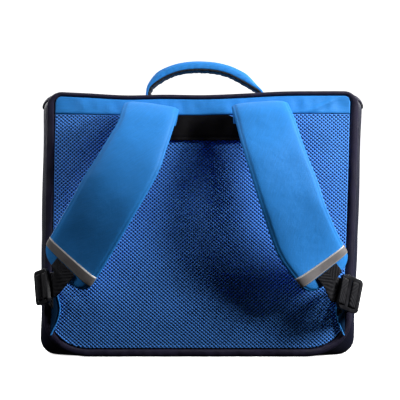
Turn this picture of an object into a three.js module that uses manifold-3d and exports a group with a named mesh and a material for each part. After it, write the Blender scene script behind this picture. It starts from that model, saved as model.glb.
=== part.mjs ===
import * as THREE from 'three';
import { mergeVertices } from 'three/addons/utils/BufferGeometryUtils.js';
import Module from 'manifold-3d';

const wasm = await Module();
wasm.setup();

// A child's school ransel standing on its base, in millimetres, +Z up.
// The side that lies on the wearer's back faces -Y, and the origin is the middle of the base.

// Bag body, cut open at its top by a hollow that runs on above the rim
const bagWidth = 375;
const bagHeight = 320;
const bagDepth = 160;
const sideSwell = 10;
const wall = 3;
const footCorner = 20;
const rimCorner = 14;
const backRound = 5;
const frontRound = 18;
const rimBelowTop = 6;
const rimFall = 7;
const openAbove = 54;

// How the soft bag stands: its top leans to +X, its foot is narrower and its top edge sags
const topLean = 7.5;
const footNarrow = 3;
const topSag = 5;

// Small spaces between pieces: face to face, and along a seam between two cloths
const gap = 0.3;
const seam = 0.6;

// Back panel
const bindingWidth = 10;
const bindingThick = 6;
const panelCornerWide = 56;
const panelCornerHigh = 44;
const panelTopCorner = 18;
const bandHeight = 18;
const panelEdgeThick = 4;
const panelCrown = 13;
const crownRamp = 60;
const valleyDepth = 6;
const valleyWidth = 26;
const clothThick = 2;
const patchWidth = 132;
const patchHeight = 32;
const patchOffset = 5;

// Arm straps
const strapWidth = 76;
const strapThick = 11;
const strapBelowTop = 20;
const strapTop = bagHeight - strapBelowTop;
const strapDrop = 205;
const strapInset = 19.5;
const strapReach = bagWidth / 2 - strapInset;
const strapArch = 58;
const strapEndRound = 26;
const tapeWidth = 12;
const tapeThick = 1.2;
const tapeFromEnd = 25;
const webbingWidth = 30;
const webbingThick = 1.6;

// Buckles and lower corners
const buckleLength = 38;
const buckleWidth = 41;
const buckleThick = 5;
const buckleRound = 6;
const barWidth = 5;
const slotWidth = 5;
const railWidth = 4.5;
const buckleLift = 20;
const buckleDrop = 20;
const tabHeight = 70;
const tabReach = 11;
const tabEdge = 9;
const tabFoot = 26;
const webbingInward = 12;
const webbingApproach = 4;
const webbingTurn = 0.15;
const webbingRise = 1.5;

// Carrying handle
const handleSpan = 137;
const handleRise = 35;
const handleWidth = 28;
const gripThick = 8;
const handleBack = 20;
const handleAside = 2;
const gripEdge = 1.5;

// Flap and closures
const flapThick = 3;
const flapOver = 2;
const flapBackTaper = 14;
const flapDroop = 7;
const flapFront = 190;
const flapCorner = 40;
const flapBindingWidth = 9;
const flapBindingThick = 5;
const claspWidth = 34;
const claspHeight = 44;
const claspThick = 9;
const claspSpread = 190;
const claspRound = 6;
const claspAbove = 5;

// Colours seen on the bag
const navy = { color: 0x1b1c38, roughness: 0.8, metalness: 0 };
const meshBlue = { color: 0x2858b8, roughness: 0.85, metalness: 0 };
const skyBlue = { color: 0x2f8fe0, roughness: 0.7, metalness: 0 };
const black = { color: 0x0d0c10, roughness: 0.85, metalness: 0 };
const plastic = { color: 0x0c0c0e, roughness: 0.4, metalness: 0 };
const reflective = { color: 0x8a8684, roughness: 0.45, metalness: 0.1 };

const bag = new THREE.Group();

function addPiece(name, geometry, look) {
  const mesh = new THREE.Mesh(geometry, new THREE.MeshStandardMaterial(look));
  mesh.name = name;
  bag.add(mesh);
  return mesh;
}

// Shares from 0 to 1 in equal steps
function evenly(steps) {
  return Array.from({ length: steps + 1 }, (_, k) => k / steps);
}

// Reads a table of rows as one smooth curve for each named column
function smoothRows(rows, columns) {
  const curves = columns.map((column) => {
    const points = rows.map((row, index) => new THREE.Vector2(index, row[column]));
    return [column, new THREE.SplineCurve(points)];
  });
  return (share) => {
    const kept = THREE.MathUtils.clamp(share, 0, 1);
    return Object.fromEntries(curves.map(([column, curve]) => [column, curve.getPoint(kept).y]));
  };
}

// Sag of the top edge in equal steps from the left side of the bag to its right, in shares of topSag
const sagRows = [
  { sag: 0.1 },
  { sag: 0.5 },
  { sag: 1.0 },
  { sag: 0.85 },
  { sag: 0.95 },
  { sag: 0.6 },
  { sag: 0.1 },
  { sag: 0.0 },
  { sag: 0.0 },
];
const sagAt = smoothRows(sagRows, ['sag']);

// Moves a point of a straight bag to its place on the soft one that stands
function stand(x, y, z) {
  const up = z / bagHeight;
  const narrow = 1 - (footNarrow / (bagWidth / 2)) * (1 - Math.min(up, 1)) ** 2;
  const nearTop = THREE.MathUtils.smoothstep(up, 0.85, 1);
  const { sag } = sagAt(x / bagWidth + 0.5);
  return new THREE.Vector3(x * narrow + topLean * up, y, z - topSag * sag * nearTop);
}

// Closed geometry with its faces pointing out, whichever way its triangles were listed
function closedGeometry(points, triangles) {
  let volume = 0;
  for (let t = 0; t < triangles.length; t += 3) {
    const [a, b, c] = [points[triangles[t]], points[triangles[t + 1]], points[triangles[t + 2]]];
    volume += a.dot(new THREE.Vector3().crossVectors(b, c)) / 6;
  }
  const geometry = new THREE.BufferGeometry().setFromPoints(points);
  geometry.setIndex(volume < 0 ? triangles.toReversed() : triangles);
  return geometry;
}

// Triangles between two neighbouring sections of equal counts, given by their first point's index
function wallTriangles(here, next, count) {
  const triangles = [];
  for (let k = 0; k < count; k += 1) {
    const after = (k + 1) % count;
    triangles.push(here + k, here + after, next + k);
    triangles.push(here + after, next + after, next + k);
  }
  return triangles;
}

// Closed solid through sections, as a ring or as a run whose two ends are fans from their middles
function loft(sections, ring = false) {
  const count = sections[0].length;
  const points = sections.flat();
  const triangles = [];
  const spans = ring ? sections.length : sections.length - 1;
  for (let s = 0; s < spans; s += 1) {
    triangles.push(...wallTriangles(s * count, ((s + 1) % sections.length) * count, count));
  }
  const ends = ring ? [] : [[0, false], [(sections.length - 1) * count, true]];
  for (const [first, far] of ends) {
    const middle = new THREE.Vector3();
    points.slice(first, first + count).forEach((point) => middle.add(point));
    const hub = points.push(middle.divideScalar(count)) - 1;
    for (let k = 0; k < count; k += 1) {
      const pair = [first + k, first + ((k + 1) % count)];
      triangles.push(hub, ...(far ? pair : pair.toReversed()));
    }
  }
  return closedGeometry(points, triangles);
}

// Closed solid between two grids of points, both given as columns from one side to the other
function quilt(front, back) {
  const rows = front[0].length;
  const count = rows * 2;
  const points = front.flatMap((column, i) => [...column, ...back[i].toReversed()]);
  const triangles = [];
  for (let i = 0; i < front.length - 1; i += 1) {
    triangles.push(...wallTriangles(i * count, (i + 1) * count, count));
  }
  for (const [first, far] of [[0, false], [(front.length - 1) * count, true]]) {
    for (let j = 0; j < rows - 1; j += 1) {
      const [a, b] = [first + j, first + j + 1];
      const [c, d] = [first + count - 2 - j, first + count - 1 - j];
      triangles.push(...(far ? [a, b, c, a, c, d] : [a, c, b, a, d, c]));
    }
  }
  return closedGeometry(points, triangles);
}

// Rounded rectangle as equal counts of points, whatever its size: corners are quarter ellipses
function roundedOutline({ half, low, high, footWide, footHigh, top }) {
  const quarter = Math.PI / 2;
  const arc = (x, z, wide, tall, turn) => new THREE.EllipseCurve(x, z, wide, tall, turn, turn + quarter);
  const corners = [
    { curve: arc(half - footWide, low + footHigh, footWide, footHigh, -quarter), steps: 7, run: 4 },
    { curve: arc(half - top, high - top, top, top, 0), steps: 3, run: 18 },
    { curve: arc(top - half, high - top, top, top, quarter), steps: 3, run: 4 },
    { curve: arc(footWide - half, low + footHigh, footWide, footHigh, 2 * quarter), steps: 7, run: 4 },
  ];
  return corners.flatMap(({ curve, steps, run }, index) => {
    const next = corners[(index + 1) % corners.length].curve;
    const edge = new THREE.LineCurve(curve.getPoint(1), next.getPoint(0));
    return [
      ...evenly(steps).map((share) => curve.getPoint(share)),
      ...evenly(run).slice(1, -1).map((share) => edge.getPoint(share)),
    ];
  });
}

// How far a rounded edge of a radius draws in at a depth from its end face
function edgeInset(depth, radius) {
  const left = Math.max(radius - depth, 0);
  return radius - Math.sqrt(radius ** 2 - left ** 2);
}

// Half of the bag's width at a depth behind the back face, before its edges are rounded
function bagHalf(depth) {
  return bagWidth / 2 + sideSwell * (1 - (2 * depth / bagDepth - 1) ** 4);
}

// Height of the rim on which the flap lies, which falls from the back to the front edge's rounding
function rimHeight(depth) {
  const flat = Math.min(depth, bagDepth - frontRound);
  return bagHeight - rimBelowTop - rimFall * (flat / (bagDepth - frontRound));
}

// One upright slice of the box at a depth behind its back face, drawn in all round by an inset
function bodySection(depth, inset, extraTop = 0) {
  const blend = THREE.MathUtils.smoothstep(depth, 0, frontRound + backRound);
  const outline = roundedOutline({
    half: bagHalf(depth) - inset,
    low: inset,
    high: rimHeight(depth) - inset + extraTop,
    footWide: THREE.MathUtils.lerp(panelCornerWide, footCorner, blend) - Math.min(inset, footCorner / 2),
    footHigh: THREE.MathUtils.lerp(panelCornerHigh, footCorner, blend) - Math.min(inset, footCorner / 2),
    top: rimCorner,
  });
  return outline.map((point) => stand(point.x, depth - bagDepth / 2, point.y));
}

// Depths behind the back face where the box is sliced, closer together at its rounded edges
function bodyDepths() {
  const back = [0, 0.3, 1].map((share) => backRound * share);
  const front = evenly(5).map((share) => bagDepth - frontRound * (1 - Math.sin(share * Math.PI / 2)));
  const middle = [0.14, 0.28, 0.5, 0.72].map((share) => bagDepth * share);
  return [...back, ...middle, ...front];
}

function bodyShell() {
  const outer = loft(bodyDepths().map((depth) => {
    const inset = edgeInset(depth, backRound) + edgeInset(bagDepth - depth, frontRound);
    return bodySection(depth, inset);
  }));
  const inner = loft([0, 0.12, 0.3, 0.5, 0.7, 0.88, 1].map((share) => {
    const depth = wall + (bagDepth - 2 * wall) * share;
    const rounding = edgeInset(bagDepth - depth, frontRound) + edgeInset(depth, backRound);
    return bodySection(depth, wall + rounding, openAbove);
  }));
  return fromManifold(asManifold(outer).subtract(asManifold(inner)));
}

// Hands a geometry to the boolean library
function asManifold(geometry) {
  const bare = geometry.clone();
  bare.deleteAttribute('normal');
  bare.deleteAttribute('uv');
  const merged = mergeVertices(bare, 1e-4);
  const vertProperties = new Float32Array(merged.attributes.position.array);
  const triVerts = new Uint32Array(merged.index.array);
  return new wasm.Manifold(new wasm.Mesh({ numProp: 3, vertProperties, triVerts }));
}

// Takes a geometry back from the boolean library
function fromManifold(solid) {
  const mesh = solid.getMesh();
  const geometry = new THREE.BufferGeometry();
  geometry.setAttribute('position', new THREE.BufferAttribute(new Float32Array(mesh.vertProperties), 3));
  geometry.setIndex(Array.from(mesh.triVerts));
  return geometry;
}

// Point on the bag's back face, lifted off it towards the wearer
function onBack(x, z, lift) {
  return stand(x, -bagDepth / 2 - gap - lift, z);
}

const meshTop = bagHeight - bindingWidth - bandHeight;
const bandTop = bagHeight - bindingWidth - seam;
const panelHalf = bagWidth / 2 - bindingWidth - seam;
const panelLow = bindingWidth + seam;

// Lowest height of the panel at a distance from the middle, on its elliptical lower corner
function panelFoot(x) {
  const wide = panelCornerWide - panelLow;
  const high = panelCornerHigh - panelLow;
  const into = Math.max(Math.abs(x) - (panelHalf - wide), 0) / wide;
  return panelLow + high * (1 - Math.sqrt(Math.max(1 - into ** 2, 0)));
}

// Thickness of the padded panel: two lobes that fall off to the edges, and a valley between them
function panelLift(x, z) {
  const aside = Math.min((panelHalf - Math.abs(x)) / crownRamp, 1);
  const upward = Math.min((z - panelLow) / crownRamp, (bandTop - z) / crownRamp, 1);
  const rise = Math.sin(Math.max(aside, 0) * Math.PI / 2) * Math.sin(Math.max(upward, 0) * Math.PI / 2);
  const valley = Math.exp(-((x / valleyWidth) ** 2)) * THREE.MathUtils.smoothstep(z / bagHeight, 0.3, 0.65);
  return panelEdgeThick + (panelCrown - panelEdgeThick) * rise - valleyDepth * rise * valley;
}

// Sorted positions from low to high in steps near a pitch, with some exact positions among them
function lines(low, high, pitch, exact = []) {
  const stops = [low, ...exact, high].sort((a, b) => a - b);
  return stops.slice(1).flatMap((stop, index) => {
    const steps = Math.max(Math.round((stop - stops[index]) / pitch), 1);
    const shares = evenly(steps).slice(index === 0 ? 0 : 1);
    return shares.map((share) => THREE.MathUtils.lerp(stops[index], stop, share));
  });
}

// How far apart the panel's facet lines lie
const columnPitch = 17;
const rowPitch = 20;

const patchSides = [patchOffset - patchWidth / 2, patchOffset + patchWidth / 2];
const patchLow = meshTop - patchHeight;
const cornerColumns = evenly(4).slice(1).map((share) => (
  panelHalf - (panelCornerWide - panelLow) * (1 - Math.sin(share * Math.PI / 2))
)).slice(0, -1);
const bandCorner = panelTopCorner - bindingWidth - seam;
const edgeColumns = [...cornerColumns, panelHalf - bandCorner, panelHalf - 0.3 * bandCorner];
const panelColumns = lines(-panelHalf, panelHalf, columnPitch, [
  ...edgeColumns.map((x) => -x), ...patchSides, ...edgeColumns,
]);
const panelRows = lines(panelLow, meshTop, rowPitch, [patchLow]);

function backPanel() {
  const surface = (liftAt) => panelColumns.map((x) => panelRows.map((row) => {
    const share = (row - panelLow) / (meshTop - panelLow);
    const z = THREE.MathUtils.lerp(panelFoot(x), meshTop, share);
    return onBack(x, z, liftAt(x, z));
  }));
  return quilt(surface(panelLift), surface(() => 0));
}

function topBand() {
  const low = meshTop + seam;
  const surface = (liftAt) => panelColumns.map((x) => {
    const into = Math.max(Math.abs(x) - (panelHalf - bandCorner), 0) / bandCorner;
    const head = bandTop - bandCorner * (1 - Math.sqrt(Math.max(1 - into ** 2, 0)));
    const heights = evenly(3).map((share) => THREE.MathUtils.lerp(low, head, share));
    return heights.map((z) => onBack(x, z, liftAt(x, z)));
  });
  return quilt(surface((x, z) => panelLift(x, z) + clothThick / 2), surface(() => 0));
}

function anchorPatch() {
  const columns = panelColumns.filter((x) => x >= patchSides[0] && x <= patchSides[1]);
  const rows = panelRows.filter((z) => z >= patchLow);
  const surface = (lift) => columns.map((x) => rows.map((z) => onBack(x, z, panelLift(x, z) + lift)));
  return quilt(surface(2 * gap + clothThick), surface(2 * gap));
}

// Outline of the whole back, drawn in by an inset
function backOutline(inset) {
  return roundedOutline({
    half: bagWidth / 2 - inset,
    low: inset,
    high: bagHeight - inset,
    footWide: panelCornerWide - inset,
    footHigh: panelCornerHigh - inset,
    top: panelTopCorner - inset,
  });
}

// Cross-section of a folded binding: inset as a share of its width, lift as a share of its thickness
const bindingSection = [
  { inset: 0, lift: 0 },
  { inset: 0, lift: 0.6 },
  { inset: 0.2, lift: 1 },
  { inset: 0.8, lift: 1 },
  { inset: 1, lift: 0.6 },
  { inset: 1, lift: 0 },
];

function backBinding() {
  const outlines = bindingSection.map(({ inset, lift }) => (
    backOutline(inset * bindingWidth).map((point) => onBack(point.x, point.y, lift * bindingThick))
  ));
  const sections = outlines[0].map((_, station) => outlines.map((outline) => outline[station]));
  return loft(sections, true);
}

// The flap's underside seen from the side: back edge, top, rounding and front, each with its outward normal
function flapProfile(downStops) {
  const yTop = (depth) => depth - bagDepth / 2;
  const bend = bagDepth - frontRound;
  const zBend = rimHeight(bend) - frontRound;
  const top = evenly(5).map((share) => {
    const depth = gap + (bend - gap) * share;
    return { depth, y: yTop(depth), z: rimHeight(depth) + gap, ny: 0, nz: 1 };
  });
  const corner = evenly(5).slice(1).map((share) => {
    const [ny, nz] = [Math.sin(share * Math.PI / 2), Math.cos(share * Math.PI / 2)];
    const radius = frontRound + gap;
    return { depth: bend + frontRound * ny, y: yTop(bend) + radius * ny, z: zBend + radius * nz, ny, nz };
  });
  const front = downStops.map((down) => (
    { depth: bagDepth, y: bagDepth / 2 + gap, z: zBend - down, ny: 1, nz: 0 }
  ));
  return [...top, ...corner, ...front];
}

// Point of the flap, which droops over the rounded upper corners of the box
function flapPoint(x, stop, lift) {
  const out = Math.max(Math.abs(x) - bagHalf(Math.min(stop.depth, bagDepth)) + rimCorner, 0) / rimCorner;
  const droop = flapDroop * stop.nz * out ** 2;
  return stand(x, stop.y + stop.ny * lift, stop.z + stop.nz * lift - droop);
}

// Half of the flap's width, drawn in where it goes under the back binding
function flapHalf(stop) {
  const taper = 1 - THREE.MathUtils.smoothstep(stop.depth, 0, bagDepth / 4);
  return bagHalf(Math.min(stop.depth, bagDepth)) + flapOver - flapBackTaper * taper;
}

const flapFrontHalf = bagHalf(bagDepth) + flapOver;

function flapSheet() {
  const inset = flapBindingWidth + seam;
  const radius = flapCorner - inset;
  const straight = flapFrontHalf - flapCorner;
  const cornerShares = evenly(4).slice(1).map((share) => (straight + radius * Math.sin(share * Math.PI / 2)));
  const frontHalf = flapFrontHalf - inset;
  const acrossStops = [
    ...cornerShares.toReversed().map((x) => -x / frontHalf),
    ...evenly(16).map((share) => (2 * share - 1) * straight / frontHalf),
    ...cornerShares.map((x) => x / frontHalf),
  ];
  const surface = (lift) => acrossStops.map((across) => {
    const into = Math.max(Math.abs(across) * frontHalf - straight, 0);
    const end = flapFront - flapCorner + Math.sqrt(Math.max(radius ** 2 - into ** 2, 0));
    const downStops = evenly(5).slice(1).map((share) => end * share);
    return flapProfile(downStops).map((stop) => flapPoint(across * (flapHalf(stop) - inset), stop, lift));
  });
  return quilt(surface(flapThick), surface(0));
}

// Points along the flap's free edge, from the left back corner round its front to the right back corner
function flapEdge(inset) {
  const radius = flapCorner - inset;
  const side = flapProfile(evenly(4).slice(1).map((share) => (flapFront - flapCorner) * share));
  const right = side.map((stop) => ({ x: flapHalf(stop) - inset, stop }));
  const corner = evenly(8).slice(1).map((share) => {
    const angle = share * Math.PI / 2;
    const [stop] = flapProfile([flapFront - flapCorner + radius * Math.sin(angle)]).slice(-1);
    return { x: flapFrontHalf - flapCorner + radius * Math.cos(angle), stop };
  });
  const [foot] = flapProfile([flapFront - inset]).slice(-1);
  const straight = flapFrontHalf - flapCorner;
  const bottom = evenly(16).slice(1, -1).map((share) => ({ x: straight * (1 - 2 * share), stop: foot }));
  const half = [...right, ...corner];
  const left = half.map(({ x, stop }) => ({ x: -x, stop })).toReversed();
  return [...half, ...bottom, ...left];
}

function flapBinding() {
  const edges = bindingSection.map(({ inset, lift }) => (
    flapEdge(inset * flapBindingWidth).map(({ x, stop }) => flapPoint(x, stop, lift * flapBindingThick))
  ));
  return loft(edges[0].map((_, station) => edges.map((edge) => edge[station])));
}

// Half of a padded section: place across and half thickness, both as shares, rounded at the edges
const padSection = [-1, -0.92, -0.72, -0.3, 0.3, 0.72, 0.92, 1].map((across) => (
  { across, rise: Math.sqrt(Math.max(1 - across ** 4, 0)) }
));
const flatSection = [-1, 1].map((across) => ({ across, rise: 1 }));

// Carries a section along a line: place(share) gives its middle, width direction and half width
function strip(place, shares, section, low, high) {
  const step = 1e-3;
  return shares.map((share) => {
    const { centre, across, half } = place(share);
    const ahead = place(Math.min(share + step, 1)).centre;
    const behind = place(Math.max(share - step, 0)).centre;
    const along = ahead.clone().sub(behind).normalize();
    const normal = new THREE.Vector3().crossVectors(along, across).normalize();
    const at = (side, lift) => centre.clone()
      .addScaledVector(across, side * half)
      .addScaledVector(normal, lift);
    const upper = section.map((point) => at(point.across, high(share, point)));
    const under = section.map((point) => at(point.across, low(share, point)));
    return { upper, under };
  });
}

// Closed solid of a strip whose upper and lower lines meet at its sides
function padSolid(place, shares, thickAt) {
  const cut = strip(place, shares, padSection,
    (share, point) => -point.rise * thickAt(share) / 2,
    (share, point) => point.rise * thickAt(share) / 2);
  return loft(cut.map(({ upper, under }) => [...upper, ...under.slice(1, -1).toReversed()]));
}

// Closed solid of a flat strip between two lifts above its middle line
function tapeSolid(place, shares, low, high) {
  const cut = strip(place, shares, flatSection, () => low, () => high);
  return quilt(cut.map(({ upper }) => upper), cut.map(({ under }) => under));
}

// The arm straps from their seam over the crest to their lower end. out is a share of strapReach,
// down of strapDrop, arch of strapArch, wide of strapWidth and thick of strapThick.
// turn is how far the width slopes down to the outside, and tip how far the outer edge lies back.
const leftStrap = [
  { out: 0.37, down: 0.095, arch: 0.275, wide: 0.80, thick: 0.35, turn: 7, tip: 0 },
  { out: 0.362, down: 0.03, arch: 0.31, wide: 0.83, thick: 0.6, turn: 7, tip: 0 },
  { out: 0.36, down: -0.005, arch: 0.45, wide: 0.86, thick: 0.9, turn: 7, tip: 0 },
  { out: 0.375, down: 0.045, arch: 0.62, wide: 0.86, thick: 1, turn: 7, tip: 0 },
  { out: 0.396, down: 0.12, arch: 0.76, wide: 0.86, thick: 1, turn: 8, tip: 0 },
  { out: 0.446, down: 0.222, arch: 0.90, wide: 0.91, thick: 1, turn: 11, tip: 2 },
  { out: 0.511, down: 0.346, arch: 1.0, wide: 0.98, thick: 1, turn: 14, tip: 5 },
  { out: 0.6125, down: 0.491, arch: 1.0, wide: 0.99, thick: 1, turn: 22, tip: 8 },
  { out: 0.722, down: 0.65, arch: 0.88, wide: 0.98, thick: 1, turn: 28, tip: 10 },
  { out: 0.896, down: 0.888, arch: 0.60, wide: 1.0, thick: 1, turn: 41, tip: 13 },
  { out: 0.968, down: 0.97, arch: 0.52, wide: 1.0, thick: 0.9, turn: 44, tip: 14 },
];
const rightStrap = [
  { out: 0.40, down: 0.09, arch: 0.275, wide: 0.80, thick: 0.35, turn: 4, tip: 0 },
  { out: 0.402, down: 0.025, arch: 0.31, wide: 0.84, thick: 0.6, turn: 4, tip: 0 },
  { out: 0.40, down: -0.008, arch: 0.45, wide: 0.875, thick: 0.9, turn: 4, tip: 0 },
  { out: 0.415, down: 0.03, arch: 0.60, wide: 0.89, thick: 1, turn: 4, tip: 0 },
  { out: 0.44, down: 0.095, arch: 0.72, wide: 0.91, thick: 1, turn: 5, tip: 0 },
  { out: 0.476, down: 0.197, arch: 0.86, wide: 0.93, thick: 1, turn: 4, tip: 2 },
  { out: 0.522, down: 0.311, arch: 0.98, wide: 0.95, thick: 1, turn: 4, tip: 4 },
  { out: 0.587, down: 0.455, arch: 1.03, wide: 0.97, thick: 1, turn: 8, tip: 6 },
  { out: 0.658, down: 0.616, arch: 0.97, wide: 0.975, thick: 1, turn: 12, tip: 8 },
  { out: 0.749, down: 0.784, arch: 0.8, wide: 1.0, thick: 1, turn: 24, tip: 10 },
  { out: 0.854, down: 0.91, arch: 0.62, wide: 0.95, thick: 1, turn: 35, tip: 12 },
  { out: 0.93, down: 0.995, arch: 0.52, wide: 0.95, thick: 0.9, turn: 38, tip: 14 },
];
const strapColumns = ['out', 'down', 'arch', 'wide', 'thick', 'turn', 'tip'];

// One arm strap: its line, its thickness and the shares where its tape lies. side is -1 left, 1 right.
function strapLine(rows, side) {
  const read = smoothRows(rows, strapColumns);
  const middle = (share) => {
    const row = read(share);
    return onBack(side * strapReach * row.out, strapTop - strapDrop * row.down, strapArch * row.arch);
  };
  const shareAt = (fromEnd) => {
    let [low, high] = [0.5, 1];
    const end = middle(1);
    for (let k = 0; k < 30; k += 1) {
      const half = (low + high) / 2;
      [low, high] = middle(half).distanceTo(end) > fromEnd ? [half, high] : [low, half];
    }
    return low;
  };
  const place = (share) => {
    const row = read(share);
    const [turn, tip] = [row.turn, row.tip].map(THREE.MathUtils.degToRad);
    const across = new THREE.Vector3(
      Math.cos(turn) * Math.cos(tip), side * Math.sin(tip), side * Math.sin(turn) * Math.cos(tip),
    );
    const fromEnd = Math.min(middle(share).distanceTo(middle(1)) / strapEndRound, 1);
    const rounding = share > 0.5 ? 0.35 + 0.65 * Math.sqrt(1 - (1 - fromEnd) ** 2) : 1;
    return { centre: middle(share), across, half: strapWidth / 2 * row.wide * rounding };
  };
  const thickAt = (share) => strapThick * read(share).thick;
  const tape = [tapeFromEnd + tapeWidth, tapeFromEnd].map(shareAt);
  return { side, place, thickAt, tape };
}

const straps = { left: strapLine(leftStrap, -1), right: strapLine(rightStrap, 1) };

// Shares where a strap is cut into sections, with the tape's two edges and its rounded end among them
function strapShares({ tape }) {
  const end = [0.25, 0.5, 0.75, 0.92, 1].map((share) => THREE.MathUtils.lerp(tape[1], 1, share));
  return [...lines(0, tape[0], 0.045), (tape[0] + tape[1]) / 2, tape[1], ...end];
}

function strapPad(strap) {
  return padSolid(strap.place, strapShares(strap), strap.thickAt);
}

// The reflective tape follows the pad's outer face
function strapTape(strap) {
  const shares = strapShares(strap).filter((share) => share >= strap.tape[0] && share <= strap.tape[1]);
  const face = padSection.slice(1, -1);
  const lift = (share, point) => point.rise * strap.thickAt(share) / 2 + 2 * gap;
  const cut = strip(strap.place, shares, face, lift, (share, point) => lift(share, point) + tapeThick);
  return quilt(cut.map(({ upper }) => upper), cut.map(({ under }) => under));
}

// Where each buckle hangs: reach is a share of half the bag's width, below a share of buckleDrop under
// the strap's end, and off a share of buckleLift. turn is how far the webbing's way through it bends
// back round the bag's side, and tilt how far its bars lean outwards.
const buckleRows = {
  left: { side: -1, strap: leftStrap, reach: 1.0, below: 0.8, off: 0.85, turn: 60, tilt: 11 },
  right: { side: 1, strap: rightStrap, reach: 0.965, below: 0.93, off: 1.15, turn: 44, tilt: 17 },
};

function buckleHeight({ strap, below }) {
  return strapTop - strapDrop * strap.at(-1).down - buckleDrop * below;
}

// The buckle's own axes: along the webbing to the front, across it, and out of its face
function buckleFrame(row) {
  const { side, reach, off, turn, tilt } = row;
  const [bend, lean] = [turn, tilt].map(THREE.MathUtils.degToRad);
  const front = new THREE.Vector3(-side * Math.cos(bend), -Math.sin(bend), 0);
  const upright = new THREE.Vector3(0, 0, -side);
  const out = new THREE.Vector3().crossVectors(front, upright);
  const along = front.clone().applyAxisAngle(out, -side * lean);
  const across = upright.clone().applyAxisAngle(out, -side * lean);
  const centre = onBack(side * reach * bagWidth / 2, buckleHeight(row), off * buckleLift);
  const at = (l, n) => ({
    centre: centre.clone().addScaledVector(along, l).addScaledVector(out, n),
    across: across.clone().negate(),
  });
  return { across, along, out, centre, at };
}

function roundedShape(width, height, radius) {
  const shape = new THREE.Shape();
  const [right, up] = [width / 2, height / 2];
  shape.absarc(right - radius, radius - up, radius, -Math.PI / 2, 0, false);
  shape.absarc(right - radius, up - radius, radius, 0, Math.PI / 2, false);
  shape.absarc(radius - right, up - radius, radius, Math.PI / 2, Math.PI, false);
  shape.absarc(radius - right, radius - up, radius, Math.PI, Math.PI * 1.5, false);
  return shape;
}

// Places of the buckle's slots along it: the sewn loop's in front, and the two of the sliding webbing
const slotPitch = slotWidth + barWidth;
const slotCentres = [slotPitch, 0, -slotPitch];

function buckle(name, row) {
  const shape = roundedShape(buckleWidth, buckleLength, buckleRound);
  const reach = buckleWidth / 2 - railWidth;
  shape.holes = slotCentres.map((middle) => {
    const slot = new THREE.Path();
    slot.moveTo(-reach, middle - slotWidth / 2);
    slot.lineTo(-reach, middle + slotWidth / 2);
    slot.lineTo(reach, middle + slotWidth / 2);
    slot.lineTo(reach, middle - slotWidth / 2);
    slot.closePath();
    return slot;
  });
  const geometry = new THREE.ExtrudeGeometry(shape, {
    depth: buckleThick, bevelEnabled: false, curveSegments: 5,
  });
  geometry.translate(0, 0, -buckleThick / 2);
  const mesh = addPiece(`buckle_${name}`, geometry, plastic);
  const frame = buckleFrame(row);
  mesh.applyMatrix4(new THREE.Matrix4().makeBasis(frame.across.clone().negate(), frame.along, frame.out));
  mesh.position.copy(frame.centre);
}

// Webbing through a list of stops, each with a middle and a width direction
function webbing(stops, steps) {
  const middles = new THREE.CatmullRomCurve3(stops.map((stop) => stop.centre), false, 'centripetal');
  const widths = new THREE.CatmullRomCurve3(stops.map((stop) => stop.across), false, 'catmullrom', 0.5);
  const place = (share) => (
    { centre: middles.getPoint(share), across: widths.getPoint(share).normalize(), half: webbingWidth / 2 }
  );
  return tapeSolid(place, evenly(steps), -webbingThick / 2, webbingThick / 2);
}

const webbingAway = buckleThick / 2 + 2 * gap + webbingThick / 2;

// Stops through a slot from the buckle's inner side to its outer one, round the bar that lies to one way
function roundBar(frame, slot, way) {
  const turns = [
    { l: 0.4, n: -1 },
    { l: 0.06, n: -0.7 },
    { l: 0, n: 0 },
    { l: 0.06, n: 0.7 },
    { l: 0.4, n: 1 },
  ];
  return turns.map(({ l, n }) => frame.at(slot + way * l * slotWidth, n * webbingAway));
}

// From the tape over the pad's end to the buckle's front bar, and back round that bar
function strapWebbing(strap, row) {
  const frame = buckleFrame(row);
  const [slot] = slotCentres;
  const stops = [0.04, 0.36, 0.68, 1].map((toEnd) => {
    const share = THREE.MathUtils.lerp(strap.tape[1], 1, toEnd);
    const lift = strap.thickAt(share) / 2 + 2 * gap + webbingThick / 2 + webbingRise * toEnd;
    const [cut] = strip(strap.place, [share], [{ across: 0 }], () => 0, () => lift);
    const normal = cut.upper[0].clone().sub(cut.under[0]).normalize();
    const across = strap.place(share).across.lerp(frame.at(0, 0).across, webbingTurn * toEnd ** 2);
    return { centre: cut.upper[0], across: across.addScaledVector(normal, -across.dot(normal)).normalize() };
  });
  return webbing([
    ...stops,
    frame.at(buckleLength / 2 + webbingApproach, -1.5 * webbingAway),
    frame.at(buckleLength / 2 - webbingApproach / 4, -1.15 * webbingAway),
    ...roundBar(frame, slot, 1),
    frame.at(buckleLength / 2 + webbingApproach * 0.75, webbingAway),
  ], 44);
}

// From the corner tab round the bag's edge, behind the buckle and over its middle bar
function lowerWebbing(row) {
  const frame = buckleFrame(row);
  const [, second, third] = slotCentres;
  const reach = row.reach * bagWidth / 2;
  const middle = buckleHeight(row);
  const lift = bindingThick + clothThick + 4 * gap + webbingThick / 2;
  const across = new THREE.Vector3(0, 0, row.side);
  const onTab = (inward, drop) => (
    { centre: onBack(row.side * (reach - inward), middle - drop, lift), across }
  );
  return webbing([
    onTab(webbingInward, tabHeight * 0.17),
    onTab(webbingInward * 0.6, tabHeight * 0.12),
    frame.at((second + third) / 2 + webbingApproach, -1.4 * webbingAway),
    frame.at((second + third) / 2, -1.1 * webbingAway),
    ...roundBar(frame, third, 1),
    ...roundBar(frame, second, -1).toReversed().slice(0, 4),
  ], 40);
}

// Outline of a corner tab: in is a share of tabReach from the tab's outer edge, up of tabHeight
const tabRows = [
  { in: 0, up: 1 },
  { in: 0.5, up: 0.8 },
  { in: 1, up: 0.5 },
  { in: 0.8, up: 0.28 },
  { in: 0.2, up: 0.06 },
  { in: 0, up: 0 },
];

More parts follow.
